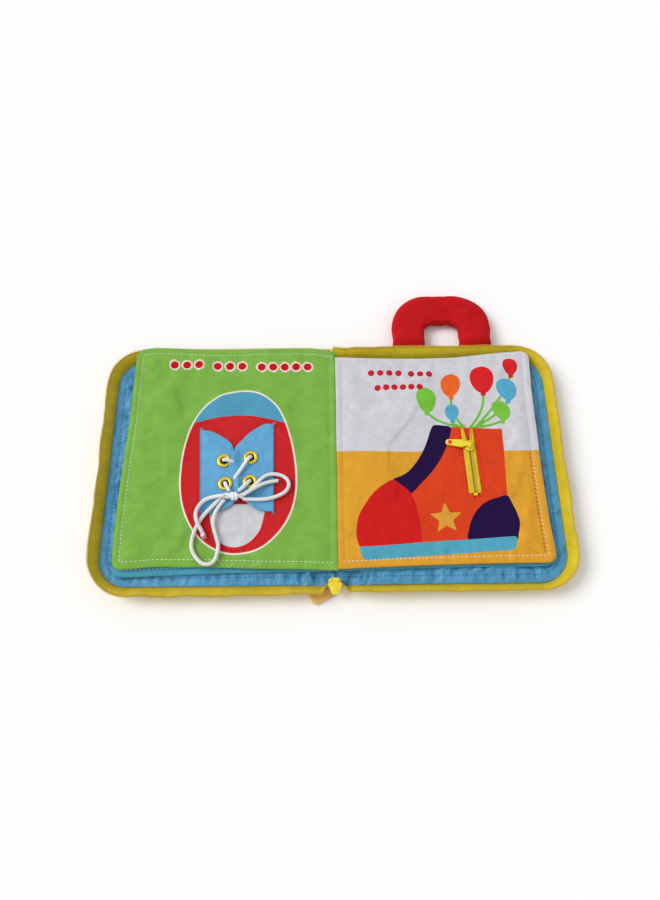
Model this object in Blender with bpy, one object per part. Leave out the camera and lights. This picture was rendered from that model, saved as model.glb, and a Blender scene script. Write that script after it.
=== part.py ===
"""A cloth baby book, lying open at its middle spread.

Two padded covers fold on a padded spine. Four quilted leaves turn on two hinge tapes over
the spine: the shoe page lies on the left, the boot page on the right. A half zip runs round
three sides of each cover, and a stuffed handle is sewn to the far edge of the right one.

+X points to the boot page, +Y to the handle and +Z up. The origin is the middle of the
spine's underside. Lengths are in metres and angles in degrees.
"""

import math

import bmesh
import bpy
import numpy as np

# Clearances
GAP = 0.0003                # between pieces that touch
FOLD_SLIT = 0.0003          # between the spine and a cover, each side of a fold line
LACE_GAP = 0.0004           # round a lace, and between two laces that cross

# Spine and covers
FOLD_X = 0.014              # from the spine's middle to a cover's fold line
FORE_X = 0.1935             # from the spine's middle to a cover's fore-edge seam
HALF_DEPTH = 0.1045         # from the middle to the near or the far seam
COVER_CORNER = 0.025        # radius of a cover's outer corners
COVER_CLOTH = 0.0008        # outer cloth and lining
COVER_FOAM = 0.0035         # foam sheet inside a cover
FOAM_INSET = 0.010          # from the seam to the foam's edge
FOAM_CORNER = 0.015
EDGE_BAND = 0.009           # width of the band where a cover thins towards its seam
EDGE_LIFT = 0.0014          # how far the outer cloth rises at the seam
LINING_DROP = 0.0012        # how far the lining comes down at the seam
HINGE_CLEAR = 0.0019        # from the fold line to the lining's edge
HINGE_SLOPE = 0.0056        # width of the slope from there to the flat of the lining
FOAM_START = 0.012          # from the fold line to the foam
SPINE_FOAM = 0.0029
SPINE_FOAM_HALF = 0.0065

# Main zip
TAPE = 0.0007               # thickness of a zip tape
TAPE_INSIDE = 0.006         # how far the tape reaches in under the lining
TAPE_STEP = 0.0012          # from the seam to the place where the tape turns up
TAPE_STANDS = 0.0122        # width of the tape that stands outside the seam
TEETH_WIDE = 0.0020
TEETH_THICK = 0.0018
LEAN_NEAR = 50.0            # lean of the tape from the vertical, outwards
LEAN_FORE = 45.0
LEAN_FAR_LEFT = 60.0
LEAN_FAR_RIGHT = 38.0
LEAN_FAR_SPINE = 48.0
LEAN_TAIL = -20.0
TAIL_HALF = 0.0080          # half the width of the spine's near end of the zip
TAIL_STANDS = 0.0045        # tape that stands up at the zip's near end, under its slider
TAB_LENGTH = 0.020          # folded end of the tape
TAB_WIDTH = 0.0085
TAB_TURN = 200.0            # direction that the folded end points in
TAB_START_X = -0.0010
TAB_START_Y = -HALF_DEPTH - 0.00585

# Main slider and its pull
SLIDER_LENGTH = 0.010
SLIDER_CHEEK = 0.0012
SLIDER_ROOF = 0.0012
SLIDER_SKIRT = 0.0022       # how far a cheek hangs beside the teeth
EAR_HEIGHT = 0.0038
EAR_THICK = 0.0012
EAR_LENGTH = 0.0026
PULL_ROOT_HALF = 0.0022     # half the width of a pull's knuckle
PULL_THICK = 0.0022
MAIN_PULL_LENGTH = 0.0113   # from the knuckle to the round tip
MAIN_PULL_HALF = 0.0062
MAIN_PULL_TIP_HALF = 0.0042
MAIN_PULL_NECK = 0.0028     # from the knuckle to where the pull starts to widen
MAIN_PULL_SHOULDER = 0.0046  # from the knuckle to its widest place

# Handle
HANDLE_LEFT_X = 0.0580      # outer sides of the two legs
HANDLE_RIGHT_X = 0.1500
HANDLE_BASE_Y = HALF_DEPTH + 0.0010
HANDLE_FAR_Y = HANDLE_BASE_Y + 0.0645
HANDLE_WIDE = 0.0295        # width of the stuffed tube
HANDLE_THICK = 0.0150
HANDLE_BEND = 0.0250        # bend radius of the tube's middle line
HANDLE_BASE_THICK = 0.0020
HANDLE_SWELL = 0.0170       # length over which the tube swells from its base
HANDLE_WALL = 0.0007
HANDLE_BASE_Z = 0.0012
HANDLE_STUFFED_FROM = 0.0080

# Leaves
LEAF_ROOT = 0.0013          # from the gutter to a leaf's sewn root
LEAF_REACH = 0.1830         # from the gutter to a leaf's fore-edge
LEAF_THICK = 0.0040
LEAF_CLOTH = 0.00065
LEAF_SEAM = 0.0016          # thickness of a leaf at its sewn edge
LEAF_BAND = 0.0080          # width of the band where a leaf thins towards its edge
LEAF_CORNER = 0.0080
LEAF_PLAY = 0.0004          # between two leaves, and between a leaf and the lining
ROOT_LIFT = 0.0008          # how far a lower leaf's root rises to its hinge tape
ROOT_LIFT_REACH = 0.0100
WADDING_INSET = 0.0030
WADDING_GAP = 0.00035
EDGE_DRAW = 0.0010          # how far a quilted edge is drawn in between its corners
# A leaf's near and far edges, each at its root and at its fore-edge
LEFT_NEAR = (-HALF_DEPTH + 0.0080, -HALF_DEPTH + 0.0080)
LEFT_FAR = (HALF_DEPTH + 0.0060, HALF_DEPTH + 0.0080)
RIGHT_NEAR = (-HALF_DEPTH + 0.0100, -HALF_DEPTH + 0.0125)
RIGHT_FAR = (HALF_DEPTH - 0.0020, HALF_DEPTH + 0.0035)
LOWER_LEAF_SHORTER = 0.0020  # how much further in a lower leaf's far edge lies
LEFT_LOWER_LONGER = 0.0030   # how far the lower left leaf shows past the shoe page
HINGE_TAPE_X = 0.0004
HINGE_TAPE = 0.0005
HINGE_TAPE_LOW = 0.0090
HINGE_TAPE_HIGH = 0.0128
HINGE_TAPE_SHORTER = 0.0050

# Joint places
COVER_AXIS_Z = COVER_CLOTH  # a cover folds about the top of its outer cloth
LEAF_AXIS_OVER = 0.0055     # how far over the pages the leaves' axis lies, to clear the bow
BINDING_AXIS_Z = 0.0105

# Shoe page: the lace flaps, their eyelets and the lace
FLAP_CLOTH = 0.0008
LEFT_FLAP_TOP = (-0.1171, 0.0287)
LEFT_FLAP_FOOT = (-0.1125, -0.0481)
LEFT_FLAP_REACH = 0.0285    # from the sewn edge to the curved one, at its widest
RIGHT_FLAP_TOP = (-0.0521, 0.0348)
RIGHT_FLAP_FOOT = (-0.0505, -0.0453)
RIGHT_FLAP_REACH = 0.0320
FLAP_END = 0.0090           # width of a flap at its two ends
EYELET_HOLE = 0.0030        # radii of an eyelet
EYELET_BARREL = 0.0036
EYELET_FLANGE = 0.0062
EYELET_FLANGE_THICK = 0.0010
EYELET_CUT = 0.0039         # radius of the hole in the cloth
CUT_OVERRUN = 0.0010
UPPER_LEFT_EYELET = (-0.0945, 0.0010)
UPPER_RIGHT_EYELET = (-0.0715, 0.0038)
LOWER_LEFT_EYELET = (-0.0925, -0.0200)
LOWER_RIGHT_EYELET = (-0.0715, -0.0182)
LACE = 0.0032               # diameter of the lace
LACE_STEP = 0.0060          # distance between two points of a lace
STRAND_STEP = 0.0030        # the same where it bends over an eyelet
KNOT_MIDDLE = (-0.0841, -0.0326)
KNOT_LENGTH = 0.0130
KNOT_WIDE = 0.0075
KNOT_HIGH = 0.0064
END_KNOT = 0.0046           # diameter of the little knot at the lace's left end

# Boot page: the little zip
BOOT_ZIP_X = 0.1186         # the slider's middle
BOOT_ZIP_Y = 0.0126
BOOT_ZIP_TURN = 2.3         # lean of the zip on the page
BOOT_ZIP_ABOVE = 0.0172     # from the slider's middle to the zip's upper end
BOOT_ZIP_BELOW = 0.0430
BOOT_TAPE_EDGE = 0.0052     # from the zip's middle to the sewn edge of its tape
BOOT_TAPE = 0.0006
BOOT_TEETH = 0.0013
BOOT_TEETH_THICK = 0.0015
BOOT_OPEN_START = 0.0010    # above the slider's middle the two rows part
BOOT_OPEN_RATE_SHARE = 0.16
BOOT_SLIDER_LENGTH = 0.0090
BOOT_SLIDER_HALF = 0.0036
BOOT_SLIDER_PLATE = 0.0009
BOOT_WEDGE_HALF = 0.0004
BOOT_WEDGE_LENGTH = 0.0012
BOOT_WEDGE_FROM_TOP = 0.0005
BOOT_PULL_LENGTH = 0.0210
BOOT_PULL_HALF = 0.0036
BOOT_PULL_TURN = 170.0      # direction that the pull lies in
BOOT_PULL_DROOP = 8.0       # how far its tip hangs below the level
BOOT_PULL_AXIS = 0.0019     # from the slider's plate to the pull's axis
BOOT_PULL_TIP_HALF = 0.0030
BOOT_PULL_NECK = 0.0034
BOOT_PULL_SHOULDER = 0.0071
BOOT_LIP = 0.0009           # a lip of the slider beside the teeth
BOOT_LIP_ENDS = 0.0005      # how far past the slider's middle the lips run
BOOT_STOP_LENGTH = 0.0022
RIVET = 0.0016
RIVET_THICK = 0.0006
RIVET_FROM_TIP = 0.0038

# Counts and shares
ARC_STEPS = 4
COVER_STEPS = 4             # columns and rows between the edge bands
LEAF_STEPS = 4
FOAM_STEPS = 2
BAND_PLACES = 3             # columns and rows in an edge band
ROUTE_FINE = 24             # fine points between two points of a lace's route
SHARP_ANGLE = 35.0          # edges sharper than this are drawn sharp
KNOT_END_SHARE = 0.55       # width of the knot's ends against its middle
HANDLE_SIDES = 12
HANDLE_BEND_STEPS = 6
EYELET_SIDES = 16
TIP_STEPS = 8
FLAP_STEPS = 14
KNOT_RINGS = 6
KNOT_SIDES = 10
FLAP_CURVE_SHARE = 0.40     # how square the curved edge of a flap is
HANDLE_SQUARE_SHARE = 0.72  # how square the handle's section is

# Heights that follow from the sizes above
COVER_TOP = 2 * COVER_CLOTH + COVER_FOAM + 2 * GAP
SPINE_TOP = 2 * COVER_CLOTH + SPINE_FOAM + 2 * GAP
LOWER_LEAF_Z = COVER_TOP + LEAF_PLAY
UPPER_LEAF_Z = LOWER_LEAF_Z + LEAF_THICK + LEAF_PLAY
PAGE_TOP = UPPER_LEAF_Z + LEAF_THICK
TAPE_Z = COVER_CLOTH + EDGE_LIFT + 2 * GAP + TAPE / 2
LEAF_AXIS_Z = PAGE_TOP + LEAF_AXIS_OVER
BINDING_AXIS_X = FOLD_X + COVER_AXIS_Z - BINDING_AXIS_Z
FLAP_TOP = PAGE_TOP + GAP + FLAP_CLOTH


class Body:
    """Holds one moving body: an empty on its joint's axis, with its nodes under it."""

    def __init__(self, name, pivot, parent=None):
        self.pivot = np.array(pivot, float)
        self.empty = bpy.data.objects.new(name + "_body", None)
        bpy.context.collection.objects.link(self.empty)
        place = self.pivot
        if parent is not None:
            self.empty.parent = parent.empty
            place = self.pivot - parent.pivot
        self.empty.location = place

    def take(self, obj):
        """Parents an object whose data is already measured from the pivot."""
        bpy.context.collection.objects.link(obj)
        obj.parent = self.empty
        return obj

    def solid(self, name, verts, faces, material, smooth=True):
        """Adds a closed mesh given in world places, with its faces turned outwards."""
        points = np.asarray(verts, float)
        mesh = bpy.data.meshes.new(name)
        mesh.from_pydata((points - self.pivot).tolist(), [], [list(f) for f in faces])
        sculpt = bmesh.new()
        sculpt.from_mesh(mesh)
        bmesh.ops.recalc_face_normals(sculpt, faces=sculpt.faces)
        if sculpt.calc_volume(signed=True) < 0:
            bmesh.ops.reverse_faces(sculpt, faces=sculpt.faces)
        sculpt.to_mesh(mesh)
        sculpt.free()
        mesh.materials.append(material)
        if smooth:
            mesh.shade_smooth()
            mesh.set_sharp_from_angle(angle=math.radians(SHARP_ANGLE))
        return self.take(bpy.data.objects.new(name, mesh))


def clear_scene():
    """Removes what the scene holds."""
    for obj in list(bpy.data.objects):
        bpy.data.objects.remove(obj, do_unlink=True)


def material(name, colour, roughness, metallic=0.0):
    """Makes one plain material from a linear colour."""
    finish = bpy.data.materials.new(name)
    finish.use_nodes = True
    shader = finish.node_tree.nodes["Principled BSDF"]
    shader.inputs["Base Color"].default_value = (*colour, 1.0)
    shader.inputs["Roughness"].default_value = roughness
    shader.inputs["Metallic"].default_value = metallic
    return finish


def make_materials():
    """The cloths, foams, plastics and metals of the book."""
    return {
        "outer": material("blue_outer_cloth", (0.06, 0.24, 0.46), 0.85),
        "lining": material("blue_nylon_lining", (0.08, 0.34, 0.55), 0.55),
        "foam": material("cover_foam", (0.80, 0.80, 0.76), 0.95),
        "tape": material("yellow_zip_tape", (0.65, 0.49, 0.05), 0.80),
        "teeth": material("yellow_zip_coil", (0.55, 0.38, 0.03), 0.45),
        "tab": material("orange_tape_end", (0.75, 0.36, 0.07), 0.80),
        "plastic": material("yellow_slider_plastic", (0.80, 0.66, 0.02), 0.35),
        "red": material("red_handle_cloth", (0.55, 0.01, 0.01), 0.85),
        "wadding": material("white_wadding", (0.86, 0.86, 0.84), 0.95),
        "green": material("green_page_cloth", (0.20, 0.45, 0.06), 0.85),
        "white": material("white_page_cloth", (0.68, 0.67, 0.71), 0.85),
        "ochre": material("ochre_page_cloth", (0.72, 0.36, 0.03), 0.85),
        "teal": material("teal_page_cloth", (0.07, 0.36, 0.50), 0.85),
        "flap": material("blue_lace_flap", (0.14, 0.42, 0.65), 0.85),
        "brass": material("brass_eyelet", (0.75, 0.55, 0.12), 0.30, 1.0),
        "lace": material("white_lace", (0.85, 0.85, 0.86), 0.90),
        "rivet": material("red_rivet", (0.60, 0.02, 0.02), 0.40),
    }


class Outline:
    """One half of the open book seen from above: from its inner edge to its fore-edge."""

    def __init__(self, inner, outer, near, far, corner, draw=0.0):
        self.inner = inner
        self.outer = outer
        self.near = near
        self.far = far
        self.corner = corner
        self.draw = draw

    def edges(self, x):
        """The near and far edges at a distance x from the middle, corners not rounded."""
        share = np.clip((x - self.inner) / (self.outer - self.inner), 0, 1)
        bow = self.draw * np.sin(math.pi * share)
        near = self.near[0] + (self.near[1] - self.near[0]) * share + bow
        far = self.far[0] + (self.far[1] - self.far[0]) * share - bow
        return near, far

    def rounding(self, x):
        """How far the corner arc draws an edge in at x."""
        past = np.clip(x - (self.outer - self.corner), 0, self.corner)
        return self.corner - np.sqrt(np.maximum(self.corner ** 2 - past ** 2, 0))

    def columns(self, steps, band):
        """Places along x: even steps between the bands, then the corner's arc."""
        start = np.linspace(self.inner, self.inner + band, BAND_PLACES)
        flat_end = self.outer - self.corner
        middle = np.linspace(self.inner + band, flat_end, steps + 1)[1:]
        turns = np.linspace(0, math.pi / 2, ARC_STEPS + 1)[1:]
        arc = flat_end + self.corner * np.sin(turns)
        return np.concatenate([start, middle, arc])

    def rows(self, x, steps, band):
        """Places along y at one column: two in each edge band and even steps between."""
        near, far = self.edges(x)
        cut = self.rounding(x)
        near, far = near + cut, far - cut
        start = np.linspace(near, near + band, BAND_PLACES)
        end = np.linspace(far - band, far, BAND_PLACES)
        middle = np.linspace(near + band, far - band, steps + 1)[1:-1]
        return np.concatenate([start, middle, end])

    def depth(self, x, y):
        """Distance from the near, fore or far edge, whichever is closest."""
        near, far = self.edges(x)
        to_fore = self.outer - x
        to_side = np.minimum(y - near, far - y)
        past_x = self.corner - to_fore
        past_y = self.corner - to_side
        in_corner = (past_x > 0) & (past_y > 0)
        arc = self.corner - np.hypot(np.maximum(past_x, 0), np.maximum(past_y, 0))
        return np.maximum(np.where(in_corner, arc, np.minimum(to_fore, to_side)), 0)


def slab(body, name, side, outline, steps, band, low, high, finish):
    """A thin closed sheet over an outline, between two height functions.

    low and high take x, y and the distance from the edge. side is 1 on the right and -1 on
    the left. Sheets with the same outline, steps and band share their grid, so the gap
    between two of them is the gap between their heights.
    """
    xs = outline.columns(steps, band)
    ys = np.array([outline.rows(x, steps, band) for x in xs])
    grid_x = np.repeat(xs[:, None], ys.shape[1], axis=1)
    depth = outline.depth(grid_x, ys)
    wide, deep = ys.shape
    layers = []
    for height in (low, high):
        z = height(grid_x, ys, depth)
        layers.append(np.stack([side * grid_x, ys, z + np.zeros_like(ys)], axis=-1))
    verts = np.concatenate([layer.reshape(-1, 3) for layer in layers])
    top = wide * deep
    faces = []
    for i in range(wide - 1):
        for j in range(deep - 1):
            a, b = i * deep + j, (i + 1) * deep + j
            faces += [(a, b + 1, b), (a, a + 1, b + 1)]
            faces += [(top + a, top + b, top + b + 1), (top + a, top + b + 1, top + a + 1)]
    rim = [i * deep for i in range(wide)]
    rim += [(wide - 1) * deep + j for j in range(1, deep)]
    rim += [i * deep + deep - 1 for i in range(wide - 2, -1, -1)]
    rim += [j for j in range(deep - 2, 0, -1)]
    for k, a in enumerate(rim):
        b = rim[(k + 1) % len(rim)]
        faces += [(a, b, top + b), (a, top + b, top + a)]
    return body.solid(name, verts, faces, finish)


def sweep(body, name, rings, finish, smooth=True):
    """A closed solid through equal rings of points, with a flat cap at each end."""
    rings = np.asarray(rings, float)
    count, sides = rings.shape[:2]
    faces = []
    for i in range(count - 1):
        for j in range(sides):
            k = (j + 1) % sides
            a, b = i * sides, (i + 1) * sides
            faces += [(a + j, a + k, b + k), (a + j, b + k, b + j)]
    faces.append(tuple(range(sides - 1, -1, -1)))
    faces.append(tuple((count - 1) * sides + j for j in range(sides)))
    return body.solid(name, rings.reshape(-1, 3), faces, finish, smooth)


def prism(body, name, outline, low, high, finish, smooth=False):
    """An outline in x and y pulled up between two heights."""
    outline = np.asarray(outline, float)
    rings = []
    for z in (low, high):
        rings.append(np.column_stack([outline, np.full(len(outline), z)]))
    return sweep(body, name, rings, finish, smooth)


def lathe_mesh(profile, middle, sides):
    """Vertices and faces of a closed ring turned about a vertical axis.

    profile lists (radius, height) pairs in order round the ring's section.
    """
    turns = np.linspace(0, 2 * math.pi, sides, endpoint=False)
    profile = np.asarray(profile, float)
    count = len(profile)
    radius, height = profile[:, 0], profile[:, 1]
    x = middle[0] + np.outer(np.cos(turns), radius)
    y = middle[1] + np.outer(np.sin(turns), radius)
    z = np.broadcast_to(height, x.shape)
    verts = np.stack([x, y, z], axis=-1).reshape(-1, 3)
    faces = []
    for i in range(sides):
        for j in range(count):
            a, b = i * count, ((i + 1) % sides) * count
            k = (j + 1) % count
            faces.append((a + j, a + k, b + k, b + j))
    return verts, faces


def box_mesh(low, high):
    """Vertices and faces of a box between two corners."""
    x0, y0, z0 = low
    x1, y1, z1 = high
    verts = [(x0, y0, z0), (x1, y0, z0), (x1, y1, z0), (x0, y1, z0),
             (x0, y0, z1), (x1, y0, z1), (x1, y1, z1), (x0, y1, z1)]
    faces = [(3, 2, 1, 0), (4, 5, 6, 7), (0, 1, 5, 4), (1, 2, 6, 5), (2, 3, 7, 6), (3, 0, 4, 7)]
    return verts, faces


def cut_holes(obj, middles, radius, low, high):
    """Cuts upright round holes through an object with Boolean cutters."""
    for number, middle in enumerate(middles):
        mesh = bpy.data.meshes.new(f"{obj.name}_cutter_{number}")
        sculpt = bmesh.new()
        bmesh.ops.create_cone(
            sculpt, cap_ends=True, segments=EYELET_SIDES, radius1=radius, radius2=radius,
            depth=high - low + 2 * CUT_OVERRUN)
        sculpt.to_mesh(mesh)
        sculpt.free()
        cutter = bpy.data.objects.new(mesh.name, mesh)
        bpy.context.collection.objects.link(cutter)
        cutter.location = (middle[0], middle[1], (low + high) / 2)
        cutter.hide_render = True
        cutter.display_type = "WIRE"
        trim = obj.modifiers.new(f"hole_{number}", "BOOLEAN")
        trim.operation = "DIFFERENCE"
        trim.object = cutter


def smooth_route(points, step):
    """Places at an even step along a smooth curve through a route's points."""
    p = np.asarray(points, float)
    before = 2 * p[0] - p[1]
    after = 2 * p[-1] - p[-2]
    p = np.vstack([before, p, after])
    fine = []
    t = np.linspace(0, 1, ROUTE_FINE, endpoint=False)[:, None]
    for k in range(1, len(p) - 2):
        a, b, c, d = p[k - 1:k + 3]
        fine.append(0.5 * (2 * b + (c - a) * t + (2 * a - 5 * b + 4 * c - d) * t ** 2
                           + (3 * b - a - 3 * c + d) * t ** 3))
    fine = np.vstack(fine + [p[-2][None]])
    run = np.concatenate([[0], np.cumsum(np.linalg.norm(np.diff(fine, axis=0), axis=1))])
    count = max(3, int(round(run[-1] / step)))
    places = np.linspace(0, run[-1], count + 1)
    return np.column_stack([np.interp(places, run, fine[:, k]) for k in range(3)])


def lace(body, name, route, finish, step=LACE_STEP):
    """A round tube along a route, as one curve object."""
    curve = bpy.data.curves.new(name, "CURVE")
    curve.dimensions = "3D"
    curve.bevel_depth = LACE / 2
    curve.bevel_resolution = 2
    curve.use_fill_caps = True
    points = smooth_route(route, step) - body.pivot
    spline = curve.splines.new("POLY")
    spline.points.add(len(points) - 1)
    for point, place in zip(spline.points, points):
        point.co = (*place, 1.0)
    curve.materials.append(finish)
    return body.take(bpy.data.objects.new(name, curve))


def cover_outline():
    """A cover seen from above, from its fold line outwards."""
    return Outline(FOLD_X + FOLD_SLIT, FORE_X, (-HALF_DEPTH, -HALF_DEPTH),
                   (HALF_DEPTH, HALF_DEPTH), COVER_CORNER)


def edge_fall(depth, band):
    """Rises smoothly from 0 inside the edge band to 1 at the edge."""
    return (1 - np.minimum(depth, band) / band) ** 2


def build_cover(body, side, word, mats):
    """Outer cloth, foam and lining of one cover."""
    outline = cover_outline()

    def outer_low(x, y, depth):
        from_fold = np.clip((x - outline.inner) / (HINGE_CLEAR + HINGE_SLOPE), 0, 1)
        return EDGE_LIFT * from_fold * edge_fall(depth, EDGE_BAND)

    def outer_high(x, y, depth):
        return outer_low(x, y, depth) + COVER_CLOTH

    slab(body, f"{word}_cover_outer", side, outline, COVER_STEPS, EDGE_BAND, outer_low,
         outer_high, mats["outer"])

    lining = Outline(FOLD_X + HINGE_CLEAR, FORE_X, outline.near, outline.far, COVER_CORNER)
    flat_low = COVER_TOP - COVER_CLOTH
    start_low = COVER_CLOTH + GAP

    def lining_low(x, y, depth):
        share = np.clip((x - lining.inner) / HINGE_SLOPE, 0, 1)
        slope = np.maximum(start_low + (flat_low - start_low) * share,
                           outer_high(x, y, depth) + GAP)
        return np.minimum(slope, flat_low - LINING_DROP * edge_fall(depth, EDGE_BAND))

    def lining_high(x, y, depth):
        return lining_low(x, y, depth) + COVER_CLOTH - GAP * (x < lining.inner + GAP)

    slab(body, f"{word}_cover_lining", side, lining, COVER_STEPS, EDGE_BAND, lining_low,
         lining_high, mats["lining"])

    foam_y = HALF_DEPTH - FOAM_INSET
    foam = Outline(FOLD_X + FOAM_START, FORE_X - FOAM_INSET, (-foam_y, -foam_y),
                   (foam_y, foam_y), FOAM_CORNER)
    foam_low = COVER_CLOTH + GAP
    foam_high = foam_low + COVER_FOAM - GAP
    slab(body, f"{word}_cover_foam", side, foam, FOAM_STEPS, FOAM_CORNER,
         lambda x, y, depth: foam_low + 0 * x, lambda x, y, depth: foam_high + 0 * x,
         mats["foam"])


def rim_stations(lean_far):
    """Places, outward directions and tape leans round a cover's three seams."""
    turns = np.linspace(0, math.pi / 2, ARC_STEPS + 1)
    inner = FOLD_X + HINGE_CLEAR + HINGE_SLOPE
    corner_x = FORE_X - COVER_CORNER
    corner_y = HALF_DEPTH - COVER_CORNER
    stations = [((inner, -HALF_DEPTH), (0, -1), LEAN_NEAR),
                (((inner + corner_x) / 2, -HALF_DEPTH), (0, -1), LEAN_NEAR)]
    for turn in turns:
        out = (math.sin(turn), -math.cos(turn))
        place = (corner_x + COVER_CORNER * out[0], -corner_y + COVER_CORNER * out[1])
        lean = LEAN_NEAR + (LEAN_FORE - LEAN_NEAR) * turn / turns[-1]
        stations.append((place, out, lean))
    stations.append(((FORE_X, 0), (1, 0), LEAN_FORE))
    for turn in turns:
        out = (math.cos(turn), math.sin(turn))
        place = (corner_x + COVER_CORNER * out[0], corner_y + COVER_CORNER * out[1])
        lean = LEAN_FORE + (lean_far - LEAN_FORE) * min(2 * turn / turns[-1], 1)
        stations.append((place, out, lean))
    stations += [(((inner + corner_x) / 2, HALF_DEPTH), (0, 1), lean_far),
                 ((inner, HALF_DEPTH), (0, 1), lean_far)]
    return stations


def tape_section(lean, stands):
    """The tape's section, (outwards, upwards) from the seam, as a closed ring."""
    lean = math.radians(lean)
    half = TAPE / 2
    out, up = math.sin(lean), math.cos(lean)
    bend = math.pi / 4 - lean / 2
    corner_out = half * math.tan(bend)
    tip = (TAPE_STEP + stands * out, stands * up)
    return [(-TAPE_INSIDE, -half), (TAPE_STEP + corner_out, -half),
            (tip[0] + half * up, tip[1] - half * out), (tip[0] - half * up, tip[1] + half * out),
            (TAPE_STEP - corner_out, half), (-TAPE_INSIDE, half)]


def teeth_section(lean, stands):
    """The coil's section just past the tape's free rim."""
    lean = math.radians(lean)
    out, up = math.sin(lean), math.cos(lean)
    half = TEETH_THICK / 2
    ring = []
    for along, across in ((GAP, -half), (GAP + TEETH_WIDE, -half), (GAP + TEETH_WIDE, half),
                          (GAP, half)):
        reach = stands + along
        ring.append((TAPE_STEP + reach * out + across * up, reach * up - across * out))
    return ring


def build_zip(body, side, word, lean_far, mats):
    """The half zip round one cover: its tape and its row of teeth."""
    stations = rim_stations(lean_far)
    for name, section, finish in ((f"{word}_zip_tape", tape_section, mats["tape"]),
                                  (f"{word}_zip_teeth", teeth_section, mats["teeth"])):
        rings = []
        for place, out, lean in stations:
            ring = [(side * (place[0] + out[0] * a), place[1] + out[1] * a, TAPE_Z + b)
                    for a, b in section(lean, TAPE_STANDS)]
            rings.append(ring)
        sweep(body, name, rings, finish)


def build_spine(body, mats):
    """The spine's layers, and the zip's two ends that are sewn to it."""
    half = FOLD_X - FOLD_SLIT

    def strip(name, section, y_low, y_high, finish):
        rings = [[(x, y, z) for x, z in section] for y in (y_low, y_high)]
        sweep(body, name, rings, finish, smooth=False)

    near, far = -HALF_DEPTH, HALF_DEPTH
    strip("spine_outer", [(-half, 0), (half, 0), (half, COVER_CLOTH), (-half, COVER_CLOTH)],
          near, far, mats["outer"])
    foam_low = COVER_CLOTH + GAP
    foam_high = foam_low + SPINE_FOAM - GAP
    strip("spine_foam", [(-SPINE_FOAM_HALF, foam_low), (SPINE_FOAM_HALF, foam_low),
                         (SPINE_FOAM_HALF, foam_high), (-SPINE_FOAM_HALF, foam_high)],
          near + FOAM_INSET, far - FOAM_INSET, mats["foam"])
    edge = FOLD_X - HINGE_CLEAR
    flat = edge - HINGE_SLOPE + GAP
    low, high = foam_low, SPINE_TOP - COVER_CLOTH
    thin = COVER_CLOTH - GAP
    section = [(-edge, low), (-flat, high), (flat, high), (edge, low), (edge, low + thin),
               (flat, high + COVER_CLOTH), (-flat, high + COVER_CLOTH), (-edge, low + thin)]
    strip("spine_lining", section, near + TAPE_INSIDE + GAP, far - TAPE_INSIDE - GAP,
          mats["lining"])
    for word, sign, lean, stands, wide in (("near", -1, LEAN_TAIL, TAIL_STANDS, TAIL_HALF),
                                           ("far", 1, LEAN_FAR_SPINE, TAPE_STANDS, half)):
        for name, section, finish in (
                (f"zip_{word}_end_tape", tape_section, mats["tape"]),
                (f"zip_{word}_end_teeth", teeth_section, mats["teeth"])):
            base = tail_base_z()
            rings = [[(x, sign * (HALF_DEPTH + a), base + b) for a, b in section(lean, stands)]
                     for x in (-wide, wide)]
            sweep(body, name, rings, finish)


def tail_base_z():
    """Height of the middle of the tape that is sewn into the spine's ends."""
    return COVER_CLOTH + GAP + TAPE / 2


def build_tape_end(body, mats):
    """The folded tape end that sticks out under the slider."""
    turn = math.radians(TAB_TURN)
    along = np.array([math.cos(turn), math.sin(turn)])
    across = np.array([-along[1], along[0]])
    start = np.array([TAB_START_X, TAB_START_Y])
    corners = [start - across * TAB_WIDTH / 2, start + along * TAB_LENGTH - across * TAB_WIDTH / 2,
               start + along * TAB_LENGTH + across * TAB_WIDTH / 2, start + across * TAB_WIDTH / 2]
    prism(body, "zip_end_tab", corners, GAP, GAP + 2 * TAPE, mats["tab"])


def slider_sizes():
    """Middle line, roof height and pull axis of the main slider."""
    lean = math.radians(LEAN_TAIL)
    reach = TAIL_STANDS + GAP + TEETH_WIDE / 2
    y = -(HALF_DEPTH + TAPE_STEP + reach * math.sin(lean))
    tilted = (TEETH_WIDE * math.cos(lean) + TEETH_THICK * abs(math.sin(lean))) / 2
    roof = tail_base_z() + reach * math.cos(lean) + tilted + GAP
    return y, roof, roof + SLIDER_ROOF + EAR_HEIGHT / 2


def tongue(root_half, widest_half, tip_half, neck, shoulder, length):
    """A pull's outline along +x from its knuckle at the origin to its round tip."""
    turns = np.linspace(-math.pi / 2, math.pi / 2, TIP_STEPS + 1)
    tip = [(length - tip_half + tip_half * math.cos(t), tip_half * math.sin(t)) for t in turns]
    lower = [(-PULL_THICK / 2, -root_half), (neck, -root_half), (shoulder, -widest_half)]
    upper = [(shoulder, widest_half), (neck, root_half), (-PULL_THICK / 2, root_half)]
    return np.array(lower + tip + upper)


def lay_out(outline, middle, turn):
    """Turns an outline about the origin and moves it."""
    turn = math.radians(turn)
    matrix = np.array([[math.cos(turn), math.sin(turn)], [-math.sin(turn), math.cos(turn)]])
    return np.asarray(outline) @ matrix + np.asarray(middle)


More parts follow.
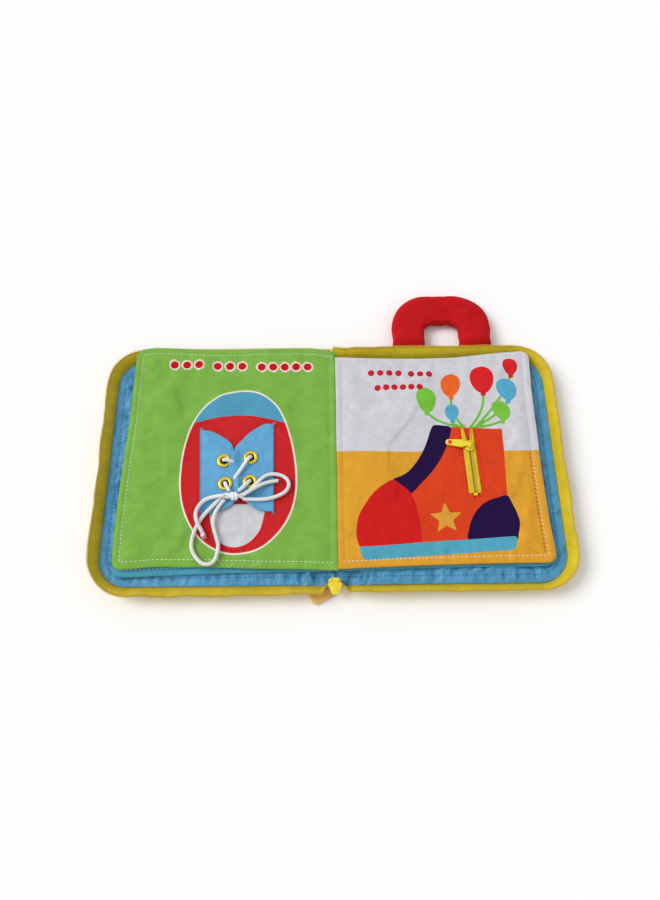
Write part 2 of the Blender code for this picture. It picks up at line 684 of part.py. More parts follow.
def fuse(obj, parts):
    """Joins closed meshes to an object with Boolean unions."""
    for number, (verts, faces) in enumerate(parts):
        mesh = bpy.data.meshes.new(f"{obj.name}_guide_{number}")
        mesh.from_pydata([tuple(v) for v in np.asarray(verts, float)], [], faces)
        sculpt = bmesh.new()
        sculpt.from_mesh(mesh)
        bmesh.ops.recalc_face_normals(sculpt, faces=sculpt.faces)
        if sculpt.calc_volume(signed=True) < 0:
            bmesh.ops.reverse_faces(sculpt, faces=sculpt.faces)
        sculpt.to_mesh(mesh)
        sculpt.free()
        guide = bpy.data.objects.new(mesh.name, mesh)
        bpy.context.collection.objects.link(guide)
        guide.hide_render = True
        guide.display_type = "WIRE"
        union = obj.modifiers.new(f"join_{number}", "BOOLEAN")
        union.operation = "UNION"
        union.object = guide


def turned_box(low, high, middle, turn):
    """A box between two corners, turned about an upright axis and moved to its place."""
    verts, faces = box_mesh(low, high)
    verts = np.asarray(verts, float)
    verts[:, :2] = lay_out(verts[:, :2], middle, turn)
    return verts, faces


def build_main_slider(spine, mats):
    """The slider over the zip's near end, and the pull that lies on it."""
    y, roof, axis_z = slider_sizes()
    inner = TEETH_THICK / 2 + 2 * GAP
    outer = inner + SLIDER_CHEEK
    half = SLIDER_LENGTH / 2
    skirt = roof - SLIDER_SKIRT
    top = roof + SLIDER_ROOF
    slider_body = Body("main_slider", (0, y, roof), spine)
    section = [(-outer, skirt), (-inner, skirt), (-inner, roof), (inner, roof), (inner, skirt),
               (outer, skirt), (outer, top), (-outer, top)]
    rings = [[(x, y + a, z) for a, z in section] for x in (-half, half)]
    slider = sweep(slider_body, "main_slider", rings, mats["plastic"], smooth=False)
    ear_in = PULL_ROOT_HALF + GAP
    ear_out = ear_in + EAR_THICK
    axis_y = y + outer - EAR_LENGTH / 2
    ears = [box_mesh((low_x, axis_y - EAR_LENGTH / 2, top - SLIDER_ROOF / 2),
                     (high_x, axis_y + EAR_LENGTH / 2, top + EAR_HEIGHT))
            for low_x, high_x in ((-ear_out, -ear_in), (ear_in, ear_out))]
    fuse(slider, ears)
    pull_body = Body("main_pull", (0, axis_y, axis_z), slider_body)
    outline = tongue(PULL_ROOT_HALF, MAIN_PULL_HALF, MAIN_PULL_TIP_HALF, MAIN_PULL_NECK,
                     MAIN_PULL_SHOULDER, MAIN_PULL_LENGTH)
    placed = lay_out(outline, (0, axis_y), -90)
    prism(pull_body, "main_pull", placed, axis_z - PULL_THICK / 2, axis_z + PULL_THICK / 2,
          mats["plastic"])


def handle_stations():
    """Places, headings and swell shares along the middle line of the handle."""
    left = HANDLE_LEFT_X + HANDLE_WIDE / 2
    right = HANDLE_RIGHT_X - HANDLE_WIDE / 2
    top = HANDLE_FAR_Y - HANDLE_WIDE / 2
    bend_y = top - HANDLE_BEND
    leg = [HANDLE_BASE_Y, HANDLE_BASE_Y + HANDLE_STUFFED_FROM, HANDLE_BASE_Y + HANDLE_SWELL]
    stations = [((left, y), (0, 1)) for y in leg]
    turns = np.linspace(0, math.pi / 2, HANDLE_BEND_STEPS + 1)
    for turn in turns:
        place = (left + HANDLE_BEND * (1 - math.cos(turn)), bend_y + HANDLE_BEND * math.sin(turn))
        stations.append((place, (math.sin(turn), math.cos(turn))))
    for turn in turns:
        place = (right - HANDLE_BEND * (1 - math.sin(turn)), bend_y + HANDLE_BEND * math.cos(turn))
        stations.append((place, (math.cos(turn), -math.sin(turn))))
    stations += [((right, y), (0, -1)) for y in reversed(leg)]
    return stations


def handle_rings(shrink, first, last):
    """Sections of the handle, drawn in by a wall, from one station to another."""
    angles = np.linspace(0, 2 * math.pi, HANDLE_SIDES, endpoint=False)
    across = np.sign(np.cos(angles)) * np.abs(np.cos(angles)) ** HANDLE_SQUARE_SHARE
    upward = np.sign(np.sin(angles)) * np.abs(np.sin(angles)) ** HANDLE_SQUARE_SHARE
    rings = []
    for (x, y), (head_x, head_y) in handle_stations()[first:last]:
        swell = min((y - HANDLE_BASE_Y) / HANDLE_SWELL, 1)
        thick = HANDLE_BASE_THICK + (HANDLE_THICK - HANDLE_BASE_THICK) * swell
        middle_z = HANDLE_BASE_Z + (thick - HANDLE_BASE_THICK) / 2
        wide = HANDLE_WIDE / 2 - shrink
        high = thick / 2 - shrink
        rings.append([(x + head_y * wide * a, y - head_x * wide * a, middle_z + high * b)
                      for a, b in zip(across, upward)])
    return rings


def build_handle(right_cover, mats):
    """The stuffed handle: a cloth sleeve, open where it is sewn in, and its stuffing."""
    handle = Body("handle", (0, HANDLE_BASE_Y, HANDLE_BASE_Z), right_cover)
    count = len(handle_stations())
    outside = np.array(handle_rings(0, 0, count))
    inside = np.array(handle_rings(HANDLE_WALL, 0, count))
    verts = np.concatenate([outside.reshape(-1, 3), inside.reshape(-1, 3)])
    inner = count * HANDLE_SIDES
    faces = []
    for i in range(count - 1):
        a, b = i * HANDLE_SIDES, (i + 1) * HANDLE_SIDES
        for j in range(HANDLE_SIDES):
            k = (j + 1) % HANDLE_SIDES
            faces += [(a + j, a + k, b + k), (a + j, b + k, b + j)]
            faces += [(inner + a + j, inner + b + k, inner + a + k),
                      (inner + a + j, inner + b + j, inner + b + k)]
    last = (count - 1) * HANDLE_SIDES
    for j in range(HANDLE_SIDES):
        k = (j + 1) % HANDLE_SIDES
        faces.append((j, inner + j, inner + k, k))
        faces.append((last + j, last + k, inner + last + k, inner + last + j))
    handle.solid("handle_sleeve", verts, faces, mats["red"])
    sweep(handle, "handle_stuffing", handle_rings(HANDLE_WALL + GAP, 1, count - 1),
          mats["wadding"])


def leaf_outlines():
    """Outlines of the four leaves, by name."""
    left_low = (LEFT_NEAR[0] - LEFT_LOWER_LONGER, LEFT_NEAR[1] - LEFT_LOWER_LONGER)
    left_high = (LEFT_FAR[0] - LOWER_LEAF_SHORTER, LEFT_FAR[1] - LOWER_LEAF_SHORTER)
    right_high = (RIGHT_FAR[0] - LOWER_LEAF_SHORTER, RIGHT_FAR[1] - LOWER_LEAF_SHORTER)

    def outline(near, far):
        return Outline(LEAF_ROOT, LEAF_REACH, near, far, LEAF_CORNER, EDGE_DRAW)

    return {"leaf_1": outline(left_low, left_high), "leaf_2": outline(LEFT_NEAR, LEFT_FAR),
            "leaf_3": outline(RIGHT_NEAR, RIGHT_FAR), "leaf_4": outline(RIGHT_NEAR, right_high)}


def build_leaf(body, name, side, base, lift, cloths):
    """One quilted leaf: lower cloth, wadding and upper cloth, pinched at the sewn edges."""
    outline = leaf_outlines()[name]
    pinch = (LEAF_THICK - LEAF_SEAM) / 2

    def rise(x):
        share = np.clip((x - LEAF_ROOT) / ROOT_LIFT_REACH, 0, 1)
        return lift * (1 - share) ** 2

    def fall(x, y):
        depth = np.minimum(outline.depth(x, y), x - LEAF_ROOT)
        return pinch * edge_fall(np.maximum(depth, 0), LEAF_BAND)

    def lower(x, y):
        return base + rise(x) + fall(x, y)

    def upper(x, y):
        return base + LEAF_THICK + rise(x) - fall(x, y)

    slab(body, f"{name}_lower_cloth", side, outline, LEAF_STEPS, LEAF_BAND,
         lambda x, y, depth: lower(x, y), lambda x, y, depth: lower(x, y) + LEAF_CLOTH,
         cloths[0])
    slab(body, f"{name}_upper_cloth", side, outline, LEAF_STEPS, LEAF_BAND,
         lambda x, y, depth: upper(x, y) - LEAF_CLOTH, lambda x, y, depth: upper(x, y),
         cloths[1])
    inset = WADDING_INSET
    sheet = Outline(LEAF_ROOT + inset, LEAF_REACH - inset,
                    (outline.near[0] + inset, outline.near[1] + inset),
                    (outline.far[0] - inset, outline.far[1] - inset),
                    LEAF_CORNER - inset, EDGE_DRAW)
    skin = LEAF_CLOTH + WADDING_GAP
    slab(body, f"{name}_wadding", side, sheet, LEAF_STEPS, LEAF_BAND - inset,
         lambda x, y, depth: lower(x, y) + skin, lambda x, y, depth: upper(x, y) - skin,
         cloths[2])


def build_hinge_tape(body, side, word, mats):
    """The cloth tape on which one side's two leaves are sewn."""
    outline = leaf_outlines()["leaf_2" if side < 0 else "leaf_3"]
    low_x, high_x = sorted((side * HINGE_TAPE_X, side * (HINGE_TAPE_X + HINGE_TAPE)))
    verts, faces = box_mesh((low_x, outline.near[0] + HINGE_TAPE_SHORTER, HINGE_TAPE_LOW),
                            (high_x, outline.far[0] - HINGE_TAPE_SHORTER, HINGE_TAPE_HIGH))
    body.solid(f"{word}_hinge_tape", verts, faces, mats["lining"], smooth=False)


def flap_outline(top, foot, reach):
    """A lace flap: a straight sewn edge and a curved edge that bows out to its reach."""
    top, foot = np.array(top), np.array(foot)
    inward = math.copysign(1, reach)
    shares = np.linspace(0, 1, FLAP_STEPS + 1)
    swell = np.sin(math.pi * shares) ** FLAP_CURVE_SHARE
    swell[0] = swell[-1] = 0
    wide = inward * (FLAP_END + (abs(reach) - FLAP_END) * swell)
    edge = top + (foot - top) * shares[:, None]
    curve = np.column_stack([edge[:, 0] + wide, edge[:, 1]])
    return np.vstack([top[None], curve, foot[None]])


def build_flaps(page, mats):
    """The two lace flaps with their holes, and the four eyelets."""
    pairs = (("left", LEFT_FLAP_TOP, LEFT_FLAP_FOOT, LEFT_FLAP_REACH,
              (UPPER_LEFT_EYELET, LOWER_LEFT_EYELET)),
             ("right", RIGHT_FLAP_TOP, RIGHT_FLAP_FOOT, -RIGHT_FLAP_REACH,
              (UPPER_RIGHT_EYELET, LOWER_RIGHT_EYELET)))
    low = PAGE_TOP + GAP
    rim = FLAP_TOP + GAP
    crown = rim + EYELET_FLANGE_THICK
    profile = [(EYELET_HOLE, low), (EYELET_BARREL, low), (EYELET_BARREL, rim),
               (EYELET_FLANGE, rim), (EYELET_FLANGE, rim + EYELET_FLANGE_THICK / 2),
               ((EYELET_FLANGE + EYELET_BARREL) / 2, crown), (EYELET_HOLE, crown - GAP)]
    for word, top, foot, reach, eyelets in pairs:
        flap = prism(page, f"{word}_lace_flap", flap_outline(top, foot, reach), low, FLAP_TOP,
                     mats["flap"])
        cut_holes(flap, eyelets, EYELET_CUT, low, FLAP_TOP)
        for place, middle in zip(("upper", "lower"), eyelets):
            verts, faces = lathe_mesh(profile, middle, EYELET_SIDES)
            page.solid(f"{place}_{word}_eyelet", verts, faces, mats["brass"])


def lace_routes():
    """Routes of the lace, by node: points chosen along its middle line."""
    upper_right = [
        (-0.0715, 0.0038, 0.0162), (-0.0716, 0.0036, 0.0184), (-0.0735, 0.0010, 0.0197),
        (-0.0768, -0.0040, 0.0192), (-0.0800, -0.0090, 0.0184), (-0.0830, -0.0132, 0.0176),
        (-0.0842, -0.0151, 0.0170), (-0.0844, -0.0156, 0.0162)]
    upper_left = [
        (-0.0945, 0.0010, 0.0162), (-0.0944, 0.0010, 0.0184), (-0.0922, 0.0006, 0.0197),
        (-0.0884, -0.0003, 0.0188), (-0.0860, -0.0010, 0.0174), (-0.0855, -0.0012, 0.0163)]
    lower_left = [
        (-0.0925, -0.0200, 0.0162), (-0.0924, -0.0202, 0.0184), (-0.0914, -0.0226, 0.0197),
        (-0.0895, -0.0256, 0.0198), (-0.0884, -0.0283, 0.0199)]
    lower_right = [
        (-0.0715, -0.0182, 0.0162), (-0.0716, -0.0184, 0.0184), (-0.0732, -0.0208, 0.0197),
        (-0.0770, -0.0248, 0.0198), (-0.0806, -0.0283, 0.0199)]
    right_loop = [
        (-0.0762, -0.0306, 0.0189), (-0.0715, -0.0276, 0.0190), (-0.0665, -0.0225, 0.0188),
        (-0.0618, -0.0170, 0.0182), (-0.0565, -0.0133, 0.0178), (-0.0510, -0.0124, 0.0177),
        (-0.0445, -0.0136, 0.0169), (-0.0396, -0.0172, 0.0167), (-0.0383, -0.0225, 0.0166),
        (-0.0410, -0.0278, 0.0166), (-0.0470, -0.0316, 0.0170), (-0.0545, -0.0342, 0.0178),
        (-0.0630, -0.0352, 0.0183), (-0.0705, -0.0350, 0.0187), (-0.0765, -0.0347, 0.0189)]
    right_end = [
        (-0.0765, -0.0327, 0.0228), (-0.0725, -0.0303, 0.0229), (-0.0668, -0.0262, 0.0216),
        (-0.0610, -0.0221, 0.0192), (-0.0545, -0.0196, 0.0180), (-0.0472, -0.0182, 0.0172)]
    left_loop = [
        (-0.0920, -0.0308, 0.0186), (-0.0970, -0.0352, 0.0182), (-0.1033, -0.0420, 0.0179),
        (-0.1090, -0.0485, 0.0177), (-0.1130, -0.0545, 0.0170), (-0.1168, -0.0640, 0.0166),
        (-0.1180, -0.0730, 0.0166), (-0.1162, -0.0795, 0.0166), (-0.1128, -0.0845, 0.0166),
        (-0.1085, -0.0884, 0.0166), (-0.1038, -0.0895, 0.0166), (-0.0995, -0.0877, 0.0166),
        (-0.0969, -0.0828, 0.0166), (-0.0958, -0.0742, 0.0166), (-0.0978, -0.0665, 0.0166),
        (-0.0998, -0.0605, 0.0167), (-0.1008, -0.0550, 0.0171), (-0.1003, -0.0495, 0.0178),
        (-0.0982, -0.0437, 0.0181), (-0.0950, -0.0388, 0.0184), (-0.0920, -0.0350, 0.0186)]
    left_end = [
        (-0.0916, -0.0329, 0.0224), (-0.0960, -0.0329, 0.0220), (-0.1020, -0.0334, 0.0204),
        (-0.1080, -0.0350, 0.0190), (-0.1126, -0.0395, 0.0190), (-0.1150, -0.0450, 0.0198),
        (-0.1150, -0.0505, 0.0206), (-0.1132, -0.0560, 0.0203), (-0.1108, -0.0602, 0.0184),
        (-0.1096, -0.0628, 0.0174)]
    return {"lace_upper_right": upper_right, "lace_upper_left": upper_left,
            "lace_lower_left": lower_left, "lace_lower_right": lower_right,
            "lace_right_loop": right_loop, "lace_right_end": right_end,
            "lace_left_loop": left_loop, "lace_left_end": left_end}


def build_lace(page, mats):
    """The lace through the eyelets, its bow, and the knots."""
    routes = lace_routes()
    for name, route in routes.items():
        bow = name.endswith("loop") or name.endswith("end")
        lace(page, name, route, mats["lace"], LACE_STEP if bow else STRAND_STEP)
    middle_z = FLAP_TOP + EYELET_FLANGE_THICK + LACE_GAP + KNOT_HIGH / 2
    turns = np.linspace(0, 2 * math.pi, KNOT_SIDES, endpoint=False)
    shares = np.linspace(-1, 1, KNOT_RINGS)
    rings = []
    for share in shares:
        size = KNOT_END_SHARE + (1 - KNOT_END_SHARE) * math.sqrt(1 - share ** 2)
        x = KNOT_MIDDLE[0] + share * KNOT_LENGTH / 2
        rings.append([(x, KNOT_MIDDLE[1] + size * KNOT_WIDE / 2 * math.cos(t),
                       middle_z + size * KNOT_HIGH / 2 * math.sin(t)) for t in turns])
    sweep(page, "lace_knot", rings, mats["lace"])
    tip, before = np.array(routes["lace_left_end"])[[-1, -2]]
    heading = tip - before
    heading /= np.linalg.norm(heading)
    middle = tip + heading * (END_KNOT / 2 + GAP)
    middle[2] = PAGE_TOP + END_KNOT / 2 + LACE_GAP
    mesh = bpy.data.meshes.new("lace_end_knot")
    sculpt = bmesh.new()
    bmesh.ops.create_icosphere(sculpt, subdivisions=1, radius=END_KNOT / 2)
    sculpt.to_mesh(mesh)
    sculpt.free()
    mesh.materials.append(mats["lace"])
    knot = page.take(bpy.data.objects.new("lace_end_knot", mesh))
    knot.location = middle - page.pivot


def boot_row(sign):
    """One row of the little zip's teeth in its own frame, as an outline."""
    top, foot = BOOT_ZIP_ABOVE, -BOOT_ZIP_BELOW
    spread = BOOT_OPEN_RATE_SHARE * (top - BOOT_OPEN_START)
    inner = GAP / 2
    return [(sign * inner, foot), (sign * (inner + BOOT_TEETH), foot),
            (sign * (inner + BOOT_TEETH), BOOT_OPEN_START),
            (sign * (inner + BOOT_TEETH + spread), top), (sign * (inner + spread), top),
            (sign * inner, BOOT_OPEN_START)]


def boot_tape(sign):
    """One tape of the little zip in its own frame, as an outline."""
    top, foot = BOOT_ZIP_ABOVE, -BOOT_ZIP_BELOW
    spread = BOOT_OPEN_RATE_SHARE * (top - BOOT_OPEN_START)
    inner = 1.5 * GAP + BOOT_TEETH
    edge = BOOT_TAPE_EDGE
    return [(sign * inner, foot), (sign * edge, foot), (sign * edge, top),
            (sign * (inner + spread), top), (sign * inner, BOOT_OPEN_START)]


def build_boot_zip(page, mats):
    """The little zip on the boot, its slider and its pull."""
    middle = (BOOT_ZIP_X, BOOT_ZIP_Y)

    def place(outline):
        return lay_out(outline, middle, BOOT_ZIP_TURN)

    low = PAGE_TOP + GAP
    high = low + BOOT_TEETH_THICK
    for sign, word in ((-1, "left"), (1, "right")):
        prism(page, f"boot_zip_{word}_tape", place(boot_tape(sign)), low, low + BOOT_TAPE,
              mats["tape"])
        prism(page, f"boot_zip_{word}_teeth", place(boot_row(sign)), low, high, mats["teeth"])
    stop_half = BOOT_TEETH + GAP
    stop_top = -BOOT_ZIP_BELOW - GAP
    stop = [(-stop_half, stop_top - BOOT_STOP_LENGTH), (stop_half, stop_top - BOOT_STOP_LENGTH),
            (stop_half, stop_top), (-stop_half, stop_top)]
    prism(page, "boot_zip_stop", place(stop), low, high, mats["plastic"])

    plate_low = high + GAP
    plate_high = plate_low + BOOT_SLIDER_PLATE
    axis_z = plate_high + BOOT_PULL_AXIS
    slider_body = Body("boot_slider", (*middle, plate_low), page)
    half = BOOT_SLIDER_LENGTH / 2
    wide = BOOT_SLIDER_HALF
    plate = [(-wide / 2, -half), (wide / 2, -half), (wide, 0), (wide, half), (-wide, half),
             (-wide, 0)]
    slider = prism(slider_body, "boot_slider", place(plate), plate_low, plate_high,
                   mats["plastic"])
    overlap = BOOT_SLIDER_PLATE / 2
    lip_in = BOOT_TEETH + 1.5 * GAP
    lip_low = low + BOOT_TAPE + GAP
    wedge_top = half - BOOT_WEDGE_FROM_TOP
    extras = [turned_box((-BOOT_WEDGE_HALF, wedge_top - BOOT_WEDGE_LENGTH, low + GAP),
                         (BOOT_WEDGE_HALF, wedge_top, plate_low + overlap), middle,
                         BOOT_ZIP_TURN)]
    for low_x, high_x in ((-lip_in - BOOT_LIP, -lip_in), (lip_in, lip_in + BOOT_LIP)):
        extras.append(turned_box((low_x, -half + BOOT_LIP, lip_low),
                                 (high_x, BOOT_LIP_ENDS, plate_low + overlap), middle,
                                 BOOT_ZIP_TURN))
    ear_in = PULL_ROOT_HALF + GAP
    ear_out = ear_in + EAR_THICK
    for low_y, high_y in ((-ear_out, -ear_in), (ear_in, ear_out)):
        extras.append(turned_box((-EAR_LENGTH / 2, low_y, plate_high - overlap),
                                 (EAR_LENGTH / 2, high_y, axis_z + PULL_THICK / 2), middle,
                                 BOOT_PULL_TURN))
    fuse(slider, extras)

    pull_body = Body("boot_pull", (*middle, axis_z), slider_body)
    outline = tongue(PULL_ROOT_HALF, BOOT_PULL_HALF, BOOT_PULL_TIP_HALF, BOOT_PULL_NECK,
                     BOOT_PULL_SHOULDER, BOOT_PULL_LENGTH)
    drooping = (math.cos(math.radians(BOOT_PULL_DROOP)), math.sin(math.radians(BOOT_PULL_DROOP)))

    def hang(outline_2d, low_z, high_z):
        rings = []
        for z in (low_z, high_z):
            along = outline_2d[:, 0] * drooping[0] + z * drooping[1]
            flat = lay_out(np.column_stack([along, outline_2d[:, 1]]), middle, BOOT_PULL_TURN)
            height = axis_z - outline_2d[:, 0] * drooping[1] + z * drooping[0]
            rings.append(np.column_stack([flat, height]))
        return rings

    sweep(pull_body, "boot_pull", hang(outline, -PULL_THICK / 2, PULL_THICK / 2),
          mats["plastic"], smooth=False)
    turns = np.linspace(0, 2 * math.pi, 2 * TIP_STEPS, endpoint=False)
    rivet_x = BOOT_PULL_LENGTH - RIVET_FROM_TIP
    rivet = np.column_stack([rivet_x + RIVET * np.cos(turns), RIVET * np.sin(turns)])
    sweep(pull_body, "boot_pull_rivet",
          hang(rivet, PULL_THICK / 2 + GAP, PULL_THICK / 2 + GAP + RIVET_THICK), mats["rivet"],
          smooth=False)


def main():
    """Builds the book, body by body."""
    clear_scene()
    mats = make_materials()
    spine = Body("spine", (0, 0, 0))
    build_spine(spine, mats)
    build_tape_end(spine, mats)
    build_main_slider(spine, mats)
    covers = {}
    for side, word, lean_far in ((-1, "left", LEAN_FAR_LEFT), (1, "right", LEAN_FAR_RIGHT)):
        cover = Body(f"{word}_cover", (side * FOLD_X, 0, COVER_AXIS_Z), spine)
        build_cover(cover, side, word, mats)
        build_zip(cover, side, word, lean_far, mats)
        covers[word] = cover
    build_handle(covers["right"], mats)

    axis = (0, 0, LEAF_AXIS_Z)
    wadding = mats["wadding"]
    leaves = {}
    for side, word, lower, upper in ((-1, "left", "leaf_1", "leaf_2"),
                                     (1, "right", "leaf_4", "leaf_3")):
        binding = Body(f"{word}_binding", (side * BINDING_AXIS_X, 0, BINDING_AXIS_Z), spine)
        build_hinge_tape(binding, side, word, mats)
        leaves[lower] = Body(lower, axis, binding)
        leaves[upper] = Body(upper, axis, leaves[lower])
    build_leaf(leaves["leaf_1"], "leaf_1", -1, LOWER_LEAF_Z, ROOT_LIFT,
               (mats["white"], mats["teal"], wadding))
    build_leaf(leaves["leaf_2"], "leaf_2", -1, UPPER_LEAF_Z, 0,
               (mats["white"], mats["green"], wadding))
    build_leaf(leaves["leaf_4"], "leaf_4", 1, LOWER_LEAF_Z, ROOT_LIFT,
               (mats["white"], mats["teal"], wadding))
    build_leaf(leaves["leaf_3"], "leaf_3", 1, UPPER_LEAF_Z, 0,
               (mats["white"], mats["ochre"], wadding))
    build_flaps(leaves["leaf_2"], mats)
    build_lace(leaves["leaf_2"], mats)
    build_boot_zip(leaves["leaf_3"], mats)


main()
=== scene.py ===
"""A cloth baby book lying open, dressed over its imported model.

The book is padded and quilted: two covers on a spine, four leaves, a half zip round each
cover and a stuffed handle. +X points to the boot page, +Y to the handle and +Z up, in metres.
"""

import logging
import math
from collections.abc import Callable, Sequence
from dataclasses import dataclass, field
from enum import Enum

import bmesh
import bpy
import numpy as np

from mathutils import Matrix, Vector

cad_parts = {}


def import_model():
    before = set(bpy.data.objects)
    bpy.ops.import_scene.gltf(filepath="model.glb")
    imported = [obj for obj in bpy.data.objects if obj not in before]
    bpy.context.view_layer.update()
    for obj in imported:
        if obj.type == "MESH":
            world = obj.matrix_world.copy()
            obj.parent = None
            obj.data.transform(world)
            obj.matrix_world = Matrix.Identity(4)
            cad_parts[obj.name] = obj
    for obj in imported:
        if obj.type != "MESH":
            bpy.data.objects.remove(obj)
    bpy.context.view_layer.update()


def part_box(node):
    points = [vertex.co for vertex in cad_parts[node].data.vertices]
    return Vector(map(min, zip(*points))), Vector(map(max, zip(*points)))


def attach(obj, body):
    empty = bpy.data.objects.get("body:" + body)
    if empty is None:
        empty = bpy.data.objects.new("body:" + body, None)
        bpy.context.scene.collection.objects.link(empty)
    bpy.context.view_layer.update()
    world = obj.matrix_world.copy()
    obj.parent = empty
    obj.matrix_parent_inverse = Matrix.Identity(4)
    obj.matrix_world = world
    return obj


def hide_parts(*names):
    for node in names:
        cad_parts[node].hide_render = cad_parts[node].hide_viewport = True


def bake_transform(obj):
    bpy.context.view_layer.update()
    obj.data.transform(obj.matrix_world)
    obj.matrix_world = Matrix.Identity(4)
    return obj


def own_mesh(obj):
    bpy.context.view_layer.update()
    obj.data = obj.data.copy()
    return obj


Array = np.ndarray
Socket = bpy.types.NodeSocket
Finish = bpy.types.Material
Piece = bpy.types.Object
Place = tuple[float, float]
Spot = tuple[float, float, float]
Span = tuple[float, float]
log = logging.getLogger("cloth_book")

MM = 0.001
# Each leaf's sewn root ends this far from the gutter, and its page begins there
PAGE_ROOT = 0.0115
# The floor lies this far under the book
FLOOR_DROP = 0.0002


# Colours and nodes


def linear(code: str) -> tuple[float, float, float, float]:
    """Turns an sRGB hex colour into linear light.

    Args:
        code: six hex digits, with or without a leading hash.

    Returns:
        Red, green, blue and an alpha of 1.
    """
    raw = np.array([int(code.lstrip("#")[k:k + 2], 16) / 255 for k in (0, 2, 4)])
    light = np.where(raw <= 0.04045, raw / 12.92, ((raw + 0.055) / 1.055) ** 2.4)
    return (float(light[0]), float(light[1]), float(light[2]), 1.0)


def add(tree: bpy.types.NodeTree, kind: str, feeds: dict[str | int, object] | None = None,
        **settings: object) -> bpy.types.Node:
    """Adds a node with its settings, constants and links.

    Args:
        tree: the node tree.
        kind: the node's type name.
        feeds: for each input, a socket to link from or a constant to set.
        **settings: the node's own properties.

    Returns:
        The new node.
    """
    node = tree.nodes.new(kind)
    for key, value in settings.items():
        setattr(node, key, value)
    for key, value in (feeds or {}).items():
        if isinstance(value, Socket):
            tree.links.new(value, node.inputs[key])
        else:
            node.inputs[key].default_value = value
    return node


def compute(tree: bpy.types.NodeTree, operation: str, *values: object) -> Socket:
    """Adds a Math node on those values and returns its output."""
    return add(tree, "ShaderNodeMath", dict(enumerate(values)), operation=operation).outputs[0]


def ranged(tree: bpy.types.NodeTree, value: Socket, source: Span, target: Span) -> Socket:
    """Adds a Map Range node from the source range to the target one and returns its output."""
    return add(tree, "ShaderNodeMapRange", {
        "Value": value, "From Min": source[0], "From Max": source[1],
        "To Min": target[0], "To Max": target[1]}).outputs[0]


def blank_finish(name: str) -> tuple[Finish, bpy.types.NodeTree, bpy.types.Node]:
    """Makes a material, and returns it with its nodes and its shader."""
    finish = bpy.data.materials.new(name)
    finish.use_nodes = True
    return finish, finish.node_tree, finish.node_tree.nodes["Principled BSDF"]


# Shapes as arrays


@dataclass
class Shape:
    """Points and faces worked out as arrays, before they become a mesh.

    faces holds arrays of equal-sided faces, uv is in metres, and every field is one number
    for each point.
    """

    points: Array
    faces: list[Array]
    uv: Array
    slots: list[Array]
    fields: dict[str, Array] = field(default_factory=dict)


def join(shapes: Sequence[Shape]) -> Shape:
    """Puts several shapes into one.

    Args:
        shapes: shapes with the same fields.

    Returns:
        One shape with all their points and faces.
    """
    faces, slots, first = [], [], 0
    for shape in shapes:
        faces += [part + first for part in shape.faces]
        slots += shape.slots
        first += len(shape.points)
    names = shapes[0].fields
    return Shape(np.concatenate([s.points for s in shapes]), faces,
                 np.concatenate([s.uv for s in shapes]), slots,
                 {name: np.concatenate([s.fields[name] for s in shapes]) for name in names})


def quads(rows: int, cols: int, wrap: bool = False, first: int = 0) -> Array:
    """Faces of a grid of points, numbered row by row.

    Args:
        rows: rows of points.
        cols: points in a row.
        wrap: whether each row closes on itself.
        first: number of the first point.

    Returns:
        An array of four point numbers for each face.
    """
    i, j = np.meshgrid(np.arange(rows - 1), np.arange(cols if wrap else cols - 1), indexing="ij")
    k = (j + 1) % cols
    return np.stack([i * cols + j, (i + 1) * cols + j, (i + 1) * cols + k, i * cols + k],
                    axis=-1).reshape(-1, 4) + first


def shaped(points: Array, faces: list[Array], slot: int = 0, uv: Array | None = None) -> Shape:
    """A shape in one material slot, whose uv is its own x and y where none is given."""
    points = points.reshape(-1, 3)
    uv = points[:, :2].copy() if uv is None else uv.reshape(-1, 2)
    return Shape(points, faces, uv, [np.full(len(part), slot) for part in faces])


def capped(rows: int, cols: int, copies: int = 1) -> list[Array]:
    """Faces of a tube of rings with a flat face at each end, for each of its copies."""
    ends = np.array([np.arange(cols)[::-1], (rows - 1) * cols + np.arange(cols)])
    first = (np.arange(copies) * rows * cols)[:, None, None]
    return [(part[None] + first).reshape(-1, part.shape[1])
            for part in (quads(rows, cols, wrap=True), ends)]


def pointed(rows: int, cols: int) -> list[Array]:
    """Faces of a tube of rings that closes at two points, numbered after all the rings."""
    j, last = np.arange(cols), (rows - 1) * cols
    k = (j + 1) % cols
    first, second = np.full(cols, rows * cols), np.full(cols, rows * cols + 1)
    return [quads(rows, cols, wrap=True),
            np.concatenate([np.stack([first, j, k], axis=-1),
                            np.stack([second, last + k, last + j], axis=-1)])]


